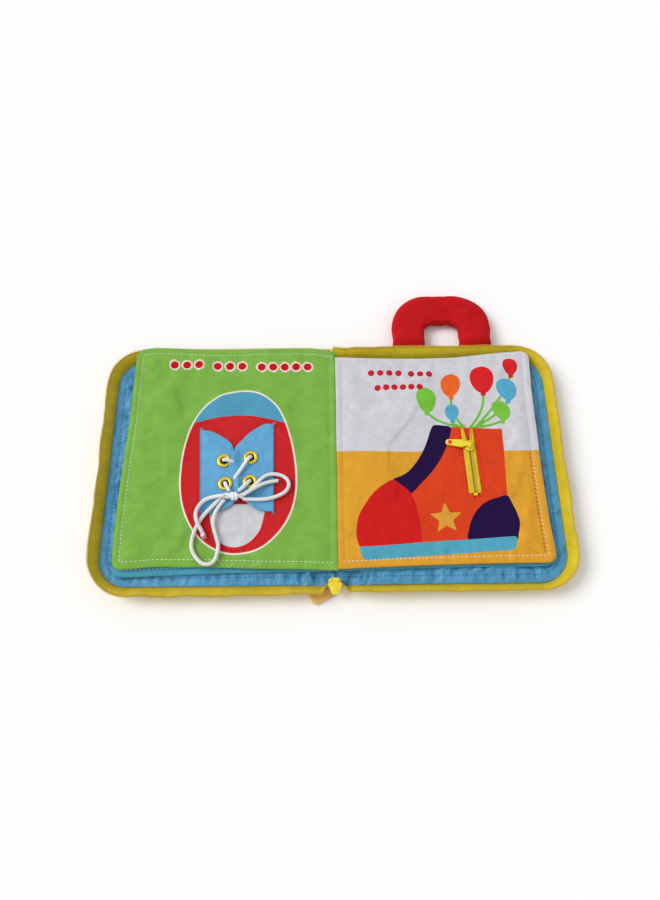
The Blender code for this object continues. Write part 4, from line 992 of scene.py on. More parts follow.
@dataclass
class Outline:
    """One half of the open book seen from above, from its inner edge to its fore-edge."""

    inner: float
    outer: float
    near: tuple[float, float]
    far: tuple[float, float]
    corner: float
    draw: float = 0.0

    def edges(self, x: Array) -> tuple[Array, Array]:
        """The near and far edges at x: straight lines drawn in by half a sine."""
        share = np.clip((x - self.inner) / (self.outer - self.inner), 0, 1)
        bow = self.draw * np.sin(math.pi * share)
        return (self.near[0] + (self.near[1] - self.near[0]) * share + bow,
                self.far[0] + (self.far[1] - self.far[0]) * share - bow)

    def grid(self, step: float) -> tuple[Array, Array]:
        """A grid of places over the outline, with its outer corners rounded.

        Args:
            step: distance between two columns or rows.

        Returns:
            x and y, with one row of the arrays for each column of the page.
        """
        flat = self.outer - self.corner
        turns = np.linspace(0, math.pi / 2, max(5, int(self.corner * 1.6 / step)))[1:]
        xs = np.concatenate([np.linspace(self.inner, flat, int((flat - self.inner) / step) + 1),
                             flat + self.corner * np.sin(turns)])
        past = np.clip(xs - flat, 0, self.corner)
        cut = self.corner - np.sqrt(np.maximum(self.corner ** 2 - past ** 2, 0))
        near, far = self.edges(xs)
        share = np.linspace(0, 1, int((self.far[0] - self.near[0]) / step) + 1)
        ys = (near + cut)[:, None] + (far - near - 2 * cut)[:, None] * share[None]
        return np.repeat(xs[:, None], ys.shape[1], axis=1), ys

    def depth(self, x: Array, y: Array) -> tuple[Array, Array, Array]:
        """Distances from the sewn edge.

        Args:
            x: places along x.
            y: places along y.

        Returns:
            The distance from the rounded outline, from the near or far edge, and from the
            fore-edge.
        """
        near, far = self.edges(x)
        fore = self.outer - x
        side = np.minimum(y - near, far - y)
        past = np.hypot(np.maximum(self.corner - fore, 0), np.maximum(self.corner - side, 0))
        arc = self.corner - past
        cornered = (fore < self.corner) & (side < self.corner)
        return np.maximum(np.where(cornered, arc, np.minimum(fore, side)), 0), side, fore

    def seam(self, inset: float, step: float) -> Array:
        """A line at an even distance inside the near, fore and far edges.

        Args:
            inset: distance from the edge.
            step: distance between its places.

        Returns:
            Places in x and y, from the inner near corner round to the inner far corner.
        """
        corner = max(self.corner - inset, 0.0015)
        out = self.outer - inset
        turn = np.linspace(0, math.pi / 2, 9)
        xs = np.linspace(self.inner + 0.002, out - corner, 60)
        near, far = self.edges(xs)
        near_end, far_end = self.edges(np.array([self.outer]))
        low, high = near_end[0] + inset + corner, far_end[0] - inset - corner
        line = np.vstack([
            np.column_stack([xs, near + inset]),
            np.column_stack([out - corner + corner * np.sin(turn), low - corner * np.cos(turn)]),
            np.column_stack([out - corner + corner * np.cos(turn), high + corner * np.sin(turn)]),
            np.column_stack([xs, far - inset])[::-1]])
        return evenly(line, step)[0]


# The printed pages


def dot_rows(x: Array, y: Array, rows: Sequence[tuple[float, float, float, float, int]]) -> Array:
    """Signed distance to rows of round dots, above 0 within a dot.

    Args:
        x: places along x.
        y: places along y.
        rows: for each row its first and last x, its y at both ends' mean, the dots' radius
            and how many there are.

    Returns:
        The largest distance over all the dots.
    """
    best = np.full(np.shape(x), -1.0)
    for start, end, level, radius, count in rows:
        for place in np.linspace(start, end, count):
            best = np.maximum(best, radius - np.hypot(x - place, y - level))
    return best


@dataclass
class ShoePrint:
    """The print of the shoe page: a shoe from above on a green ground, and a row of dots."""

    outline: tuple[Place, ...] = (
        (-78.9, 69.4), (-63.4, 65.4), (-50.3, 53.8), (-42.1, 37.9), (-36.4, 18.6),
        (-33.1, -0.4), (-31.9, -18.5), (-33.2, -32.9), (-36.9, -46.5), (-43.8, -59.3),
        (-54.0, -70.6), (-65.6, -78.0), (-80.2, -80.7), (-93.0, -79.0), (-105.6, -72.8),
        (-116.5, -62.3), (-124.9, -47.8), (-129.6, -33.4), (-131.7, -18.0), (-131.5, -1.7),
        (-129.0, 18.4), (-123.6, 37.4), (-113.6, 54.0), (-98.0, 66.0))
    cap_line: tuple[Place, ...] = (
        (-140, 33.0), (-125.1, 36.7), (-113.5, 40.3), (-101.0, 43.3), (-85.1, 44.9),
        (-72.4, 44.3), (-56.4, 41.1), (-40.5, 36.6), (-25, 32.0))
    toe: tuple[Place, ...] = (
        (-103.8, -40.5), (-94.0, -38.6), (-81.0, -38.0), (-68.0, -38.6), (-58.9, -41.0),
        (-59.3, -50.0), (-62.0, -60.0), (-68.0, -68.6), (-75.5, -73.6), (-83.5, -74.9),
        (-92.0, -72.6), (-98.5, -66.6), (-102.6, -57.5), (-104.4, -48.5))
    dots: tuple[tuple[float, float, float, float, int], ...] = (
        (-144.5, -122.0, 96.6, 3.7, 3), (-105.0, -82.5, 94.8, 3.7, 3),
        (-64.5, -22.5, 93.4, 3.7, 5))

    def fields(self, x: Array, y: Array) -> dict[str, Array]:
        """The print's shapes as signed distances in metres.

        Args:
            x: places along x in metres.
            y: places along y in metres.

        Returns:
            One array for each ink's attribute.
        """
        u, v = x / MM, y / MM
        shoe = inside(smooth_line(self.outline, 3.0, ring=True), u, v)
        line = np.array(self.cap_line)
        above = v - np.interp(u, line[:, 0], line[:, 1])
        return {"shoe": shoe * MM, "shoe_cap": np.minimum(above, shoe - 0.7) * MM,
                "shoe_toe": inside(smooth_line(self.toe, 2.5, ring=True), u, v) * MM,
                "dots": dot_rows(u, v, self.dots) * MM}


@dataclass
class BootPrint:
    """The print of the boot page: a boot on ochre ground, balloons on strings over it."""

    toe: tuple[Place, ...] = (
        (58.0, -79.5), (40.0, -80.0), (26.0, -80.0), (20.6, -75.0), (18.3, -67.0),
        (18.6, -59.3), (20.2, -50.5), (23.6, -43.6), (28.6, -35.6), (34.6, -28.2),
        (42.4, -22.0), (50.7, -17.9), (58.6, -22.6), (65.4, -29.5), (69.4, -41.0),
        (72.0, -57.0), (72.3, -72.0), (71.6, -79.0))
    strip: tuple[Place, ...] = (
        (50.7, -17.9), (58.6, -13.6), (64.7, -9.5), (70.5, -3.0), (75.4, 4.0), (79.4, 11.2),
        (82.6, 18.8), (85.4, 27.0), (87.6, 31.8), (90.2, 33.9), (97.0, 33.2), (103.9, 31.3),
        (103.4, 25.0), (100.6, 16.5), (96.6, 7.6), (91.4, -1.4), (85.0, -10.0),
        (76.2, -19.4), (65.4, -29.7), (58.4, -22.8))
    body: tuple[Place, ...] = (
        (53.0, -19.0), (62.0, -15.0), (70.0, -9.0), (77.0, -1.0), (83.0, 8.0), (87.5, 18.0),
        (91.0, 29.0), (96.0, 32.0), (103.9, 31.3), (126.0, 30.2), (149.2, 29.2),
        (149.0, 12.0), (148.4, -4.0), (147.4, -20.0), (147.1, -33.6), (150.0, -60.0),
        (150.0, -72.0), (60.0, -76.0), (22.0, -77.0))
    heel: tuple[Place, ...] = (
        (147.1, -33.0), (138.6, -34.6), (131.2, -37.0), (124.8, -41.0), (119.4, -46.6),
        (115.4, -53.4), (112.8, -61.0), (111.8, -71.0), (131.0, -73.0), (150.0, -72.0),
        (153.2, -66.0), (155.0, -58.1), (154.8, -51.0), (151.8, -41.6))
    sole: tuple[Place, ...] = (
        (20.6, -75.9), (60.0, -73.6), (110.0, -70.4), (150.3, -68.2), (151.6, -69.6),
        (151.0, -74.0), (149.6, -78.2), (146.6, -79.8), (110.0, -81.8), (60.0, -84.8),
        (26.8, -86.8), (23.6, -85.6), (21.4, -81.0))
    ground: tuple[Place, ...] = (
        (-5, 10.0), (7.2, 9.7), (40.0, 8.6), (88.5, 8.7), (150.0, 8.4), (190.0, 9.0))
    balloons: tuple[tuple[str, float, float, float, float, float], ...] = (
        ("balloon_green", 84.0, 58.0, 12.5, 8.6, 96.0),
        ("balloon_orange", 107.0, 73.0, 11.5, 8.8, 76.0),
        ("balloon_red", 136.0, 78.0, 13.5, 10.6, 92.0),
        ("balloon_blue", 157.5, 68.0, 11.5, 8.8, 104.0),
        ("balloon_green", 150.5, 47.0, 10.0, 7.4, 118.0),
        ("balloon_red", 163.0, 91.5, 8.6, 6.8, 92.0),
        ("balloon_blue", 106.5, 46.0, 8.0, 6.2, 84.0))
    knot: Place = (118.0, 30.0)
    dots: tuple[tuple[float, float, float, float, int], ...] = (
        (35.5, 60.5, 85.6, 3.0, 4), (72.0, 88.5, 84.6, 3.0, 3), (41.0, 79.0, 71.0, 3.0, 6))

    def star(self) -> Array:
        """A five-pointed star: its radius steps between its tips and its hollows."""
        turn = math.radians(92) + np.arange(10) * math.pi / 5
        radius = np.where(np.arange(10) % 2 == 0, 14.2, 6.0)
        return np.column_stack([94.0 + radius * np.cos(turn), -51.9 + radius * np.sin(turn)])

    def strings(self, u: Array, v: Array) -> Array:
        """Distance to the strings: bowed lines from the boot's top to each balloon's foot."""
        best = np.full(np.shape(u), -1.0)
        for _, x, y, tall, wide, _ in self.balloons:
            foot = np.array([x, y - tall])
            start = np.array([self.knot[0] + 0.16 * (x - self.knot[0]), self.knot[1]])
            share = np.linspace(0, 1, 14)[:, None]
            line = start + (foot - start) * share
            line[:, :1] += 4.0 * np.sin(math.pi * share) * math.copysign(1, foot[0] - start[0])
            a, b = line[:-1], line[1:]
            p = np.stack([np.ravel(u), np.ravel(v)], axis=-1)[None]
            edge = (b - a)[:, None]
            part = np.clip(((p - a[:, None]) * edge).sum(-1) / (edge ** 2).sum(-1), 0, 1)
            gap = np.linalg.norm(p - a[:, None] - part[..., None] * edge, axis=-1).min(axis=0)
            best = np.maximum(best, 1.1 - gap.reshape(np.shape(u)))
        return best

    def fields(self, x: Array, y: Array) -> dict[str, Array]:
        """The print's shapes as signed distances in metres.

        Args:
            x: places along x in metres.
            y: places along y in metres.

        Returns:
            One array for each ink's attribute.
        """
        u, v = x / MM, y / MM
        line = np.array(self.ground)
        found = {"ground": np.interp(u, line[:, 0], line[:, 1]) - v,
                 "strings": self.strings(u, v), "dots": dot_rows(u, v, self.dots)}
        for name in ("boot_toe", "boot_strip", "boot_heel"):
            outline = getattr(self, name.removeprefix("boot_"))
            found[name] = inside(smooth_line(outline, 2.0, ring=True), u, v)
        found["boot"] = inside(np.array(self.body), u, v)
        found["boot_sole"] = inside(np.array(self.sole), u, v)
        found["boot_star"] = inside(self.star(), u, v)
        for name, a, b, tall, wide, turn in self.balloons:
            taper = 1 + 0.16 * np.clip((v - b) / tall, -1, 1)
            body = oval(a + (u - a) / taper, v, (a, b), (tall, wide), turn)
            tie = 2.4 - np.hypot(u - a, (v - (b - tall - 1.0)) * 1.2)
            body = np.maximum(body, np.where(v < b - tall + 1, tie, -1))
            found[name] = np.maximum(found.get(name, body), body)
        return {name: values * MM for name, values in found.items()}


# The leaves


@dataclass
class Leaf:
    """One quilted leaf: two page cloths over wadding, sewn together along three edges.

    Its two faces share a grid, and room is how far it may rise over its plain height. Half
    its thickness is thin at the sewn edge, swells, dips at the row of stitches and swells
    again to the padded middle. Each row of stitches has its distance from the edge and the
    shares of the seam where it starts and stops. The bows are places along an edge and how
    far the edge stands out there, in millimetres.
    """

    name: str
    side: int
    outline: Outline
    base: float
    bodies: tuple[str, str]
    step: float
    seed: int
    lift: float = 0.0
    thick: float = 0.0040
    seam: float = 0.0016
    stitch_in: float = 0.0058
    print_: ShoePrint | BootPrint | None = None
    waves: float = 0.00060
    room: float = 0.0012
    rows: tuple[tuple[float, float, float], ...] = ((0.0058, 0.0, 1.0),)
    far_bow: tuple[Place, ...] = ((0.0, 0.0),)
    near_bow: tuple[Place, ...] = ((0.0, 0.0),)
    fore_bow: tuple[Place, ...] = ((0.0, 0.0),)
    quiet: tuple[float, float, float, float] | None = None
    tucks: Callable[[Array, Array], Array] | None = None

    def bent(self, x: Array, y: Array) -> tuple[Array, Array]:
        """Moves places so that the three free edges are as uneven as sewn ones.

        Args:
            x: places along x, from the inner edge outwards.
            y: places along y.

        Returns:
            The moved places.
        """
        far, near, fore = (np.array(bow) for bow in (self.far_bow, self.near_bow,
                                                     self.fore_bow))
        up = rise(y, -0.02, self.outline.far[0]) * np.interp(x / MM, far[:, 0], far[:, 1])
        down = rise(-y, -0.02, -self.outline.near[0]) * np.interp(x / MM, near[:, 0],
                                                                  near[:, 1])
        out = rise(x, 0.05, self.outline.outer) * np.interp(y / MM, fore[:, 0], fore[:, 1])
        return x + out * MM, y + (up + down) * MM

    def half(self, depth: Array) -> Array:
        """Half the thickness at a distance from the sewn edge."""
        full = self.thick / 2
        edge = self.seam / 2
        cuff = 0.00045 * bump(depth, 0.0028, 0.0016)
        dip = 0.00035 * bump(depth, self.stitch_in, 0.0011)
        return edge + (full - edge) * rise(depth, 0.0035, 0.0165) + cuff - dip

    def puckers(self, x: Array, y: Array, side: Array, fore: Array) -> Array:
        """Gathers along the stitches: short waves along each seam that die out inwards."""
        return 0.00016 * gathers(x, y, side, fore, 0.006, self.seed)

    def calm(self, x: Array, y: Array) -> Array:
        """Goes to 0 over the place where something is sewn on, so that it lies flat there."""
        if self.quiet is None:
            return np.ones(np.shape(x))
        x0, x1, y0, y1 = self.quiet
        far = np.hypot(np.maximum(np.maximum(x0 - x, x - x1), 0),
                       np.maximum(np.maximum(y0 - y, y - y1), 0))
        return 0.25 + 0.75 * rise(far, 0.0, 0.018)

    def settled(self) -> Array:
        """Lets the upper cloth settle on a coarse grid, held along its stitches.

        Returns:
            The coarse grid's moves upwards.
        """
        x, y = self.outline.grid(0.0055)
        depth, _, _ = self.outline.depth(x, y)
        z = self.base + self.thick + 0.00025 * ripples(x, y, 0.02, 0.05, self.seed + 5)
        held = 1 - rise(depth, 0.004, 0.010)
        held = np.maximum(held, 1 - rise(x - self.outline.inner, 0.001, 0.006))
        held = np.maximum(held, 0.6 * (1 - self.calm(self.side * x, y)))
        points = np.stack([self.side * x, y, z], axis=-1)
        moved = Settling(ease=0.012, bending=0.8, cap=0.0022).run(f"{self.name}_settle", points,
                                                                  held)
        return moved[..., 2] * (1 - 0.6 * held)

    def faces(self) -> tuple[Array, Array, Array, Array]:
        """The leaf's two faces.

        Returns:
            Upper and lower grids of points, and the grid's own x and y.
        """
        x, y = self.outline.grid(self.step)
        depth, side, fore = self.outline.depth(x, y)
        root = x - self.outline.inner
        half = self.half(np.minimum(depth, root * 0.8 + 0.0012))
        raised = self.lift * (1 - np.clip(root / 0.010, 0, 1)) ** 2
        middle = self.base + self.thick / 2 + raised
        world = self.side * x
        calm = self.calm(world, y)
        fade = rise(depth, 0.0, 0.02) * rise(root, 0.0, 0.02)
        broad = ripples(x, y, 0.045, 0.12, self.seed) * self.waves
        fine = ripples(x, y, 0.016, 0.034, self.seed + 3) * self.waves * 0.28
        sway = np.maximum(broad + fine, -0.0009) * (0.35 + 0.65 * fade) * calm
        wrinkle = 0.0009 * np.tanh(refined(self.settled(), x) / 0.0009) * fade * calm
        gather = self.puckers(x, y, side, fore)
        if self.tucks is not None:
            gather = gather + self.tucks(world, y)
        top = middle + half + gather + np.minimum(sway, 0.0007) + wrinkle
        top = np.minimum(top, self.base + self.thick + self.room + raised)
        bottom = middle - half - gather * 0.6 + np.clip(sway, 0, 0.0004)
        bottom = np.maximum(bottom, self.base - 0.0002)
        x, y = self.bent(x, y)
        world = self.side * x
        return (np.stack([world, y, np.maximum(top, bottom + 0.0008)], axis=-1),
                np.stack([world, y, bottom], axis=-1), world, y)

    def build(self, finishes: dict[Book, Finish], upper: Book, lower: Book,
              threads: tuple[Book, ...]) -> Array:
        """Builds and dresses the leaf, with its rows of stitches.

        Args:
            finishes: the book's finishes.
            upper: finish of the upper face.
            lower: finish of the lower face.
            threads: finish of each row of stitches.

        Returns:
            The grid of its upper face.
        """
        top, bottom, x, y = self.faces()
        prints = self.print_.fields(x, y) if self.print_ else {}
        shapes = [pillow(top, bottom, np.stack([x, y], axis=-1), 0.0005, (0, 1, 0), prints)]
        for number, (inset, start, stop) in enumerate(self.rows):
            for face, sign in ((top, 1), (bottom, -1)):
                line = self.seam_line(inset)
                line = line[int(start * len(line)):int(stop * len(line))]
                path, over = self.on_face(face, line, sign)
                row = stitches(path, over, 0.0036, 0.0025, THREAD, slot=2 + number)
                row.fields = {key: np.full(len(row.points), -1.0) for key in prints}
                shapes.append(row)
        whole = join(shapes)
        cloths = [finishes[upper], finishes[lower]] + [finishes[t] for t in threads]
        first, second = self.bodies
        root = make_piece(f"{self.name}_sewn_root",
                          part_of(whole, lambda at: self.side * at[:, 0] < PAGE_ROOT), cloths)
        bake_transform(root)
        page = make_piece(f"{self.name}_quilted",
                          part_of(whole, lambda at: self.side * at[:, 0] >= PAGE_ROOT), cloths)
        ride_page(page, second)
        for piece in (root, page):
            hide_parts(f"{self.name}_lower_cloth", f"{self.name}_wadding",
                        f"{self.name}_upper_cloth")
        return top

    def seam_line(self, inset: float) -> Array:
        """The line of a seam at that distance from the sewn edge, in the book's x and y."""
        line = self.outline.seam(inset, 0.0012)
        x, y = self.bent(line[:, 0], line[:, 1])
        return np.column_stack([self.side * x, y])

    def on_face(self, face: Array, place: Array, sign: int) -> tuple[Array, Array]:
        """Lays a line on one face of the leaf.

        Each place takes the height of the grid's nearest four points, weighted by distance.

        Args:
            face: the face's grid.
            place: the line's x and y.
            sign: 1 on the upper face and -1 on the lower one.

        Returns:
            The line's places and the cloth's normals there.
        """
        flat = face.reshape(-1, 3)
        slope_x = np.gradient(face[..., 2], axis=0) / np.gradient(face[..., 0], axis=0)
        slope_y = np.gradient(face[..., 2], axis=1) / np.gradient(face[..., 1], axis=1)
        tilt = np.stack([-slope_x, -slope_y, np.ones_like(slope_x)], axis=-1).reshape(-1, 3)
        gap = np.hypot(place[:, None, 0] - flat[None, :, 0], place[:, None, 1] - flat[None, :, 1])
        near = np.argpartition(gap, 4, axis=1)[:, :4]
        weight = 1 / (np.take_along_axis(gap, near, axis=1) + 1e-6)
        weight /= weight.sum(axis=1, keepdims=True)
        height = (flat[near, 2] * weight).sum(axis=1)
        normal = unit((tilt[near] * weight[..., None]).sum(axis=1))
        return np.column_stack([place, height]), sign * normal


# The covers and their zips


@dataclass
class Cover:
    """One cover with its half of the spine: nylon lining, foam and outer cloth, sewn at the rim."""

    side: int
    word: str
    push: float = 0.0
    step: float = 0.0014
    page_base: float = LOWER_LEAF

    def outline(self) -> Outline:
        """The pad's outline, from the spine's middle line."""
        deep = HALF_DEPTH + 0.0006
        return Outline(0.0, FORE_X + 0.0008 + self.push, (-deep, -deep), (deep, deep),
                       COVER_CORNER)

    def crown(self, x: Array) -> Array:
        """Height of the lining over the floor: the spine's pad, the fold and the cover's pad."""
        fold = 0.0050 - 0.0027 * rise(x, 0.0060, 0.0135)
        return fold + 0.0034 * rise(x, 0.0150, 0.0215)

    def build(self, finishes: dict[Book, Finish], page: Outline) -> None:
        """Builds the pad, wrinkled by a cloth run, with its row of stitches.

        Args:
            finishes: the book's finishes.
            page: outline of the leaf that lies on it.
        """
        outline = self.outline()
        x, y = outline.grid(self.step)
        depth, _, _ = outline.depth(x, y)
        seed = 41 if self.side > 0 else 47
        near, far = page.edges(x)
        under = np.minimum(np.minimum(y - near, far - y), page.outer - x)
        covered = rise(under, -0.001, 0.004)
        loose = self.loose_lining(outline, x, y, seed)
        flat = np.minimum(loose, self.page_base - 0.0004)
        top = loose * (1 - covered) + flat * covered
        tape = 0.00215 + 0.0017 * rise(x, 0.013, 0.022)
        top = np.where(depth < 0.0070, np.maximum(top, tape), top)
        lifted = 0.0014 * (1 - np.minimum(depth, 0.009) / 0.009) ** 2
        lifted = lifted * rise(x, 0.014, 0.021)
        bottom = lifted + 0.00012 * (1 + ripples(x, y, 0.02, 0.06, seed + 4)).clip(0, 2)
        top = np.maximum(top, bottom + 0.0012)
        world = self.side * x
        upper = np.stack([world, y, top], axis=-1)
        lower = np.stack([world, y, bottom], axis=-1)
        shapes = [pillow(upper, lower, np.stack([world, y], axis=-1), 0.0, (0, 1, 1))]
        leaf = Leaf("cover", self.side, outline, 0.0, ("spine", "spine"), self.step, 0)
        path, over = leaf.on_face(upper, leaf.seam_line(0.0068), 1)
        shapes.append(stitches(path, over, 0.0034, 0.0024, THREAD, slot=2))
        piece = make_piece(f"{self.word}_cover_padded", join(shapes),
                           [finishes[Book.LINING], finishes[Book.OUTER],
                            finishes[Book.BLUE_THREAD]], sharp=50.0)
        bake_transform(piece)
        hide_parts(f"{self.word}_cover_outer", f"{self.word}_cover_foam",
                    f"{self.word}_cover_lining")
        if self.side < 0:
            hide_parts("spine_outer", "spine_foam", "spine_lining")

    def loose_lining(self, outline: Outline, x: Array, y: Array, seed: int) -> Array:
        """Height of the lining where no page lies on it.

        It is gathered at its stitches, slants in creases, wrinkles as the cloth run says, and
        folds where the zip's slider closes the spine's near end.

        Args:
            outline: the cover's outline.
            x: places along x.
            y: places along y.
            seed: start of the first waves.

        Returns:
            Heights over the floor.
        """
        depth, side, fore = outline.depth(x, y)
        wrinkle = refined(self.settled(outline, seed), x)
        lining = self.crown(x) - 0.0008 * (1 - np.minimum(depth, 0.010) / 0.010) ** 2
        gather = 0.00065 * gathers(x, y, side, fore, 0.005, seed)
        slant = (ripples(x + 0.4 * y, y - 0.5 * x, 0.010, 0.036, seed + 3)
                 + ripples(1.6 * x, 0.45 * y, 0.010, 0.024, seed + 6)) * 0.00060
        ridge = 1 - np.abs(ripples(x + 0.7 * y, 0.6 * y - x, 0.018, 0.040, seed + 8)) * 1.4
        slant = slant + 0.0011 * ridge.clip(0, 1) ** 3 * rise(x, 0.03, 0.06)
        dip = 0.0007 * bump(depth, 0.0068, 0.0013)
        fade = rise(depth, 0.0, 0.004)
        end = rise(-y, 0.080, 0.097)
        slid = 0.5 * (y + 0.100)
        free = (gather + slant * rise(depth, 0.006, 0.012) + wrinkle) * fade
        folds = (0.0018 * bump(x - 0.0098, slid, 0.0012)
                 + 0.0014 * bump(x - 0.0195, slid, 0.0013))
        free = free + end * folds * fade
        creases = end * (0.0030 * bump(x - 0.0125, slid, 0.0009)
                         + 0.0020 * bump(x - 0.0165, slid, 0.0011)
                         + 0.0012 * bump(x - 0.0275, 0.2 * (y + 0.1), 0.0016))
        return lining + free - dip - creases

    def settled(self, outline: Outline, seed: int) -> Array:
        """Lets the nylon lining settle on a coarse grid, held at its rim and its stitches.

        Args:
            outline: the cover's outline.
            seed: start of the first waves.

        Returns:
            The coarse grid's moves upwards.
        """
        x, y = outline.grid(0.0050)
        depth, _, _ = outline.depth(x, y)
        z = self.crown(x) + 0.0003 * ripples(x, y, 0.012, 0.03, seed)
        held = 1 - rise(np.abs(depth - 0.0065), 0.002, 0.006)
        held = np.maximum(held, 1 - rise(depth, 0.002, 0.006))
        points = np.stack([self.side * x, y, z], axis=-1)
        moved = Settling(ease=0.030, bending=0.25, cap=0.0030).run(
            f"{self.word}_lining_settle", points, held)
        return moved[..., 2] * (1 - 0.7 * held)


@dataclass
class ZipHalf:
    """Half a zip round one cover: its tape, and a nylon coil of separate turns.

    The tape's section is a line that runs out under the lining, bends at the seam and leans
    outwards. The lean, the width and the base height change along the seam: at the slider
    the tape leans inwards and its width is partly hidden.
    """

    side: int
    word: str
    lean_far: float
    lean_near: float = 41.0
    lean_fore: float = 45.0
    stands_far: float = TAPE_STANDS
    slider_lean: float = -20.0
    spine_lean: float = 48.0
    slider_stands: float = 0.0045
    slider_hides: float = 0.0077
    push: float = 0.0
    thick: float = 0.0007
    inside_reach: float = 0.0050
    step_out: float = 0.0012
    pitch: float = 0.00165

    def stations(self, step: float) -> dict[str, Array]:
        """The seam's places from the spine's near end round to its far end.

        Args:
            step: distance between two places.

        Returns:
            Arrays for the place, the outward direction, the run, the lean in radians, how
            much of the tape stands outside the seam, and the base height.
        """
        turn = np.linspace(0, math.pi / 2, 16)
        cx, cy, r = FORE_X - COVER_CORNER, HALF_DEPTH - COVER_CORNER, COVER_CORNER
        line = np.vstack([
            [[0.0, -HALF_DEPTH]],
            np.column_stack([cx + r * np.sin(turn), -cy - r * np.cos(turn)]),
            np.column_stack([cx + r * np.cos(turn), cy + r * np.sin(turn)]),
            [[0.0, HALF_DEPTH]]])
        place, s = evenly(line, step)
        centre = np.column_stack([np.minimum(place[:, 0], cx), np.clip(place[:, 1], -cy, cy)])
        out = unit(place - centre)
        near = place[:, 1] < 0
        x = place[:, 0]
        fore_share = np.abs(out[:, 0])
        lean = (np.where(near, self.lean_near, self.lean_far) * (1 - fore_share)
                + self.lean_fore * fore_share)
        place = place + out * (self.push * fore_share)[:, None]
        leave = rise(x, 0.0025, 0.0125)
        start = np.where(near, self.slider_lean, self.spine_lean)
        lean = start + (lean - start) * leave
        far_side = self.stands_far + (TAPE_STANDS - self.stands_far) * fore_share
        stands = np.where(near, self.slider_stands + self.slider_hides * leave, far_side)
        base = 0.00145 + 0.0017 * rise(x, 0.013, 0.022)
        seed = 61 if self.side > 0 else 67
        lean = lean + (2.0 * ripples(s, 0 * s, 0.035, 0.11, seed)
                       + 0.8 * ripples(s, 0 * s, 0.010, 0.020, seed + 1)) * leave
        return {"place": place, "out": out, "s": s, "lean": np.radians(lean),
                "stands": stands, "base": base}

    def build_tape(self, finish: Finish) -> None:
        """Builds the tape as a thin closed band.

        Args:
            finish: the tape's finish.
        """
        at = self.stations(0.0022)
        w = np.concatenate([np.linspace(0, 0.999, 3), np.linspace(1.001, 2, 10)])[None, :]
        lean, stands = at["lean"][:, None], at["stands"][:, None]
        inner = np.clip(w, 0, 1)
        outer = np.clip(w - 1, 0, 1)
        bow = 0.0006 * np.sin(math.pi * outer) * np.minimum(stands / TAPE_STANDS, 1)
        across = (-self.inside_reach + (self.inside_reach + self.step_out) * inner
                  + outer * stands * np.sin(lean) - bow * np.cos(lean))
        up = outer * stands * np.cos(lean) + bow * np.sin(lean)
        slope_a = np.gradient(across, axis=1)
        slope_u = np.gradient(up, axis=1)
        size = np.maximum(np.hypot(slope_a, slope_u), 1e-9)
        grids = [self.lay(at, across - sign * slope_u / size * self.thick / 2,
                          up + sign * slope_a / size * self.thick / 2) for sign in (1, -1)]
        v = np.where(w < 1, (w - 1) * self.inside_reach, (w - 1) * stands)
        uv = np.stack([v, np.broadcast_to(at["s"][:, None], v.shape)], axis=-1)
        piece = make_piece(f"{self.word}_zip_band", pillow(*grids, uv), [finish], sharp=70.0)
        self.across_fold(piece, f"{self.word}_zip_tape")

    def lay(self, at: dict[str, Array], across: Array, up: Array) -> Array:
        """Turns section places into world places.

        Args:
            at: the stations.
            across: distance outwards from the seam, stations by section places.
            up: height over the base line, in the same layout.

        Returns:
            Points in the same layout.
        """
        xy = at["place"][:, None] + at["out"][:, None] * across[..., None]
        return np.stack([self.side * xy[..., 0], xy[..., 1], at["base"][:, None] + up], axis=-1)

    def build_coil(self, finish: Finish) -> None:
        """Builds the coil: a core cord along the tape's rim, and a bead for each turn.

        Args:
            finish: the coil's finish.
        """
        at = self.stations(self.pitch)
        keep = at["place"][:, 0] > 0.0006
        at = {key: value[keep] for key, value in at.items()}
        lean, stands = at["lean"], at["stands"]
        out3 = np.column_stack([self.side * at["out"][:, 0], at["out"][:, 1],
                                np.zeros(len(lean))])
        along = out3 * np.sin(lean)[:, None] + np.array([0, 0, 1.0]) * np.cos(lean)[:, None]
        normal = -out3 * np.cos(lean)[:, None] + np.array([0, 0, 1.0]) * np.sin(lean)[:, None]
        ahead = np.cross(along, normal)
        root = self.lay(at, (self.step_out + stands * np.sin(lean))[:, None],
                        (stands * np.cos(lean))[:, None])[:, 0]
        turns = coil_turns(root + along * 0.0011, along * 0.0012 + ahead * 0.00022,
                           ahead * 0.00056, normal * 0.00085)
        shapes = [turns, tube(root + along * 0.0004, 0.00062, 8)]
        piece = make_piece(f"{self.word}_zip_coil", join(shapes), [finish])
        self.across_fold(piece, f"{self.word}_zip_teeth")

    def across_fold(self, piece: Piece, node: str) -> None:
        """Bakes a piece's place into its points, and says what it stands for."""
        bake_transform(piece)
        kind = node.rsplit("_", 1)[1]
        end = "near" if self.side < 0 else "far"
        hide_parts(node, f"zip_{end}_end_{kind}")


def rounded_plate(outline: Array, low: float, high: float, edge: float, slot: int = 0) -> Shape:
    """A flat plate with rounded rims: the outline is drawn in by a quarter circle at each face.

    Args:
        outline: corners in order, turning to the left.
        low: height of its lower face.
        high: height of its upper face.
        edge: radius of its rims.
        slot: its material slot.

    Returns:
        A closed shape.
    """
    ahead = np.roll(outline, -1, axis=0) - np.roll(outline, 1, axis=0)
    out = unit(np.stack([ahead[:, 1], -ahead[:, 0]], axis=-1))
    turn = np.linspace(0, math.pi / 2, 4)
    inset = np.concatenate([edge * (1 - np.sin(turn)), edge * (1 - np.cos(turn))])
    height = np.concatenate([low + edge * (1 - np.cos(turn)), high - edge * (1 - np.sin(turn))])
    rings = [np.column_stack([outline - out * i, np.full(len(outline), z)])
             for i, z in zip(inset, height)]
    return shaped(np.concatenate(rings), capped(len(rings), len(outline)), slot)


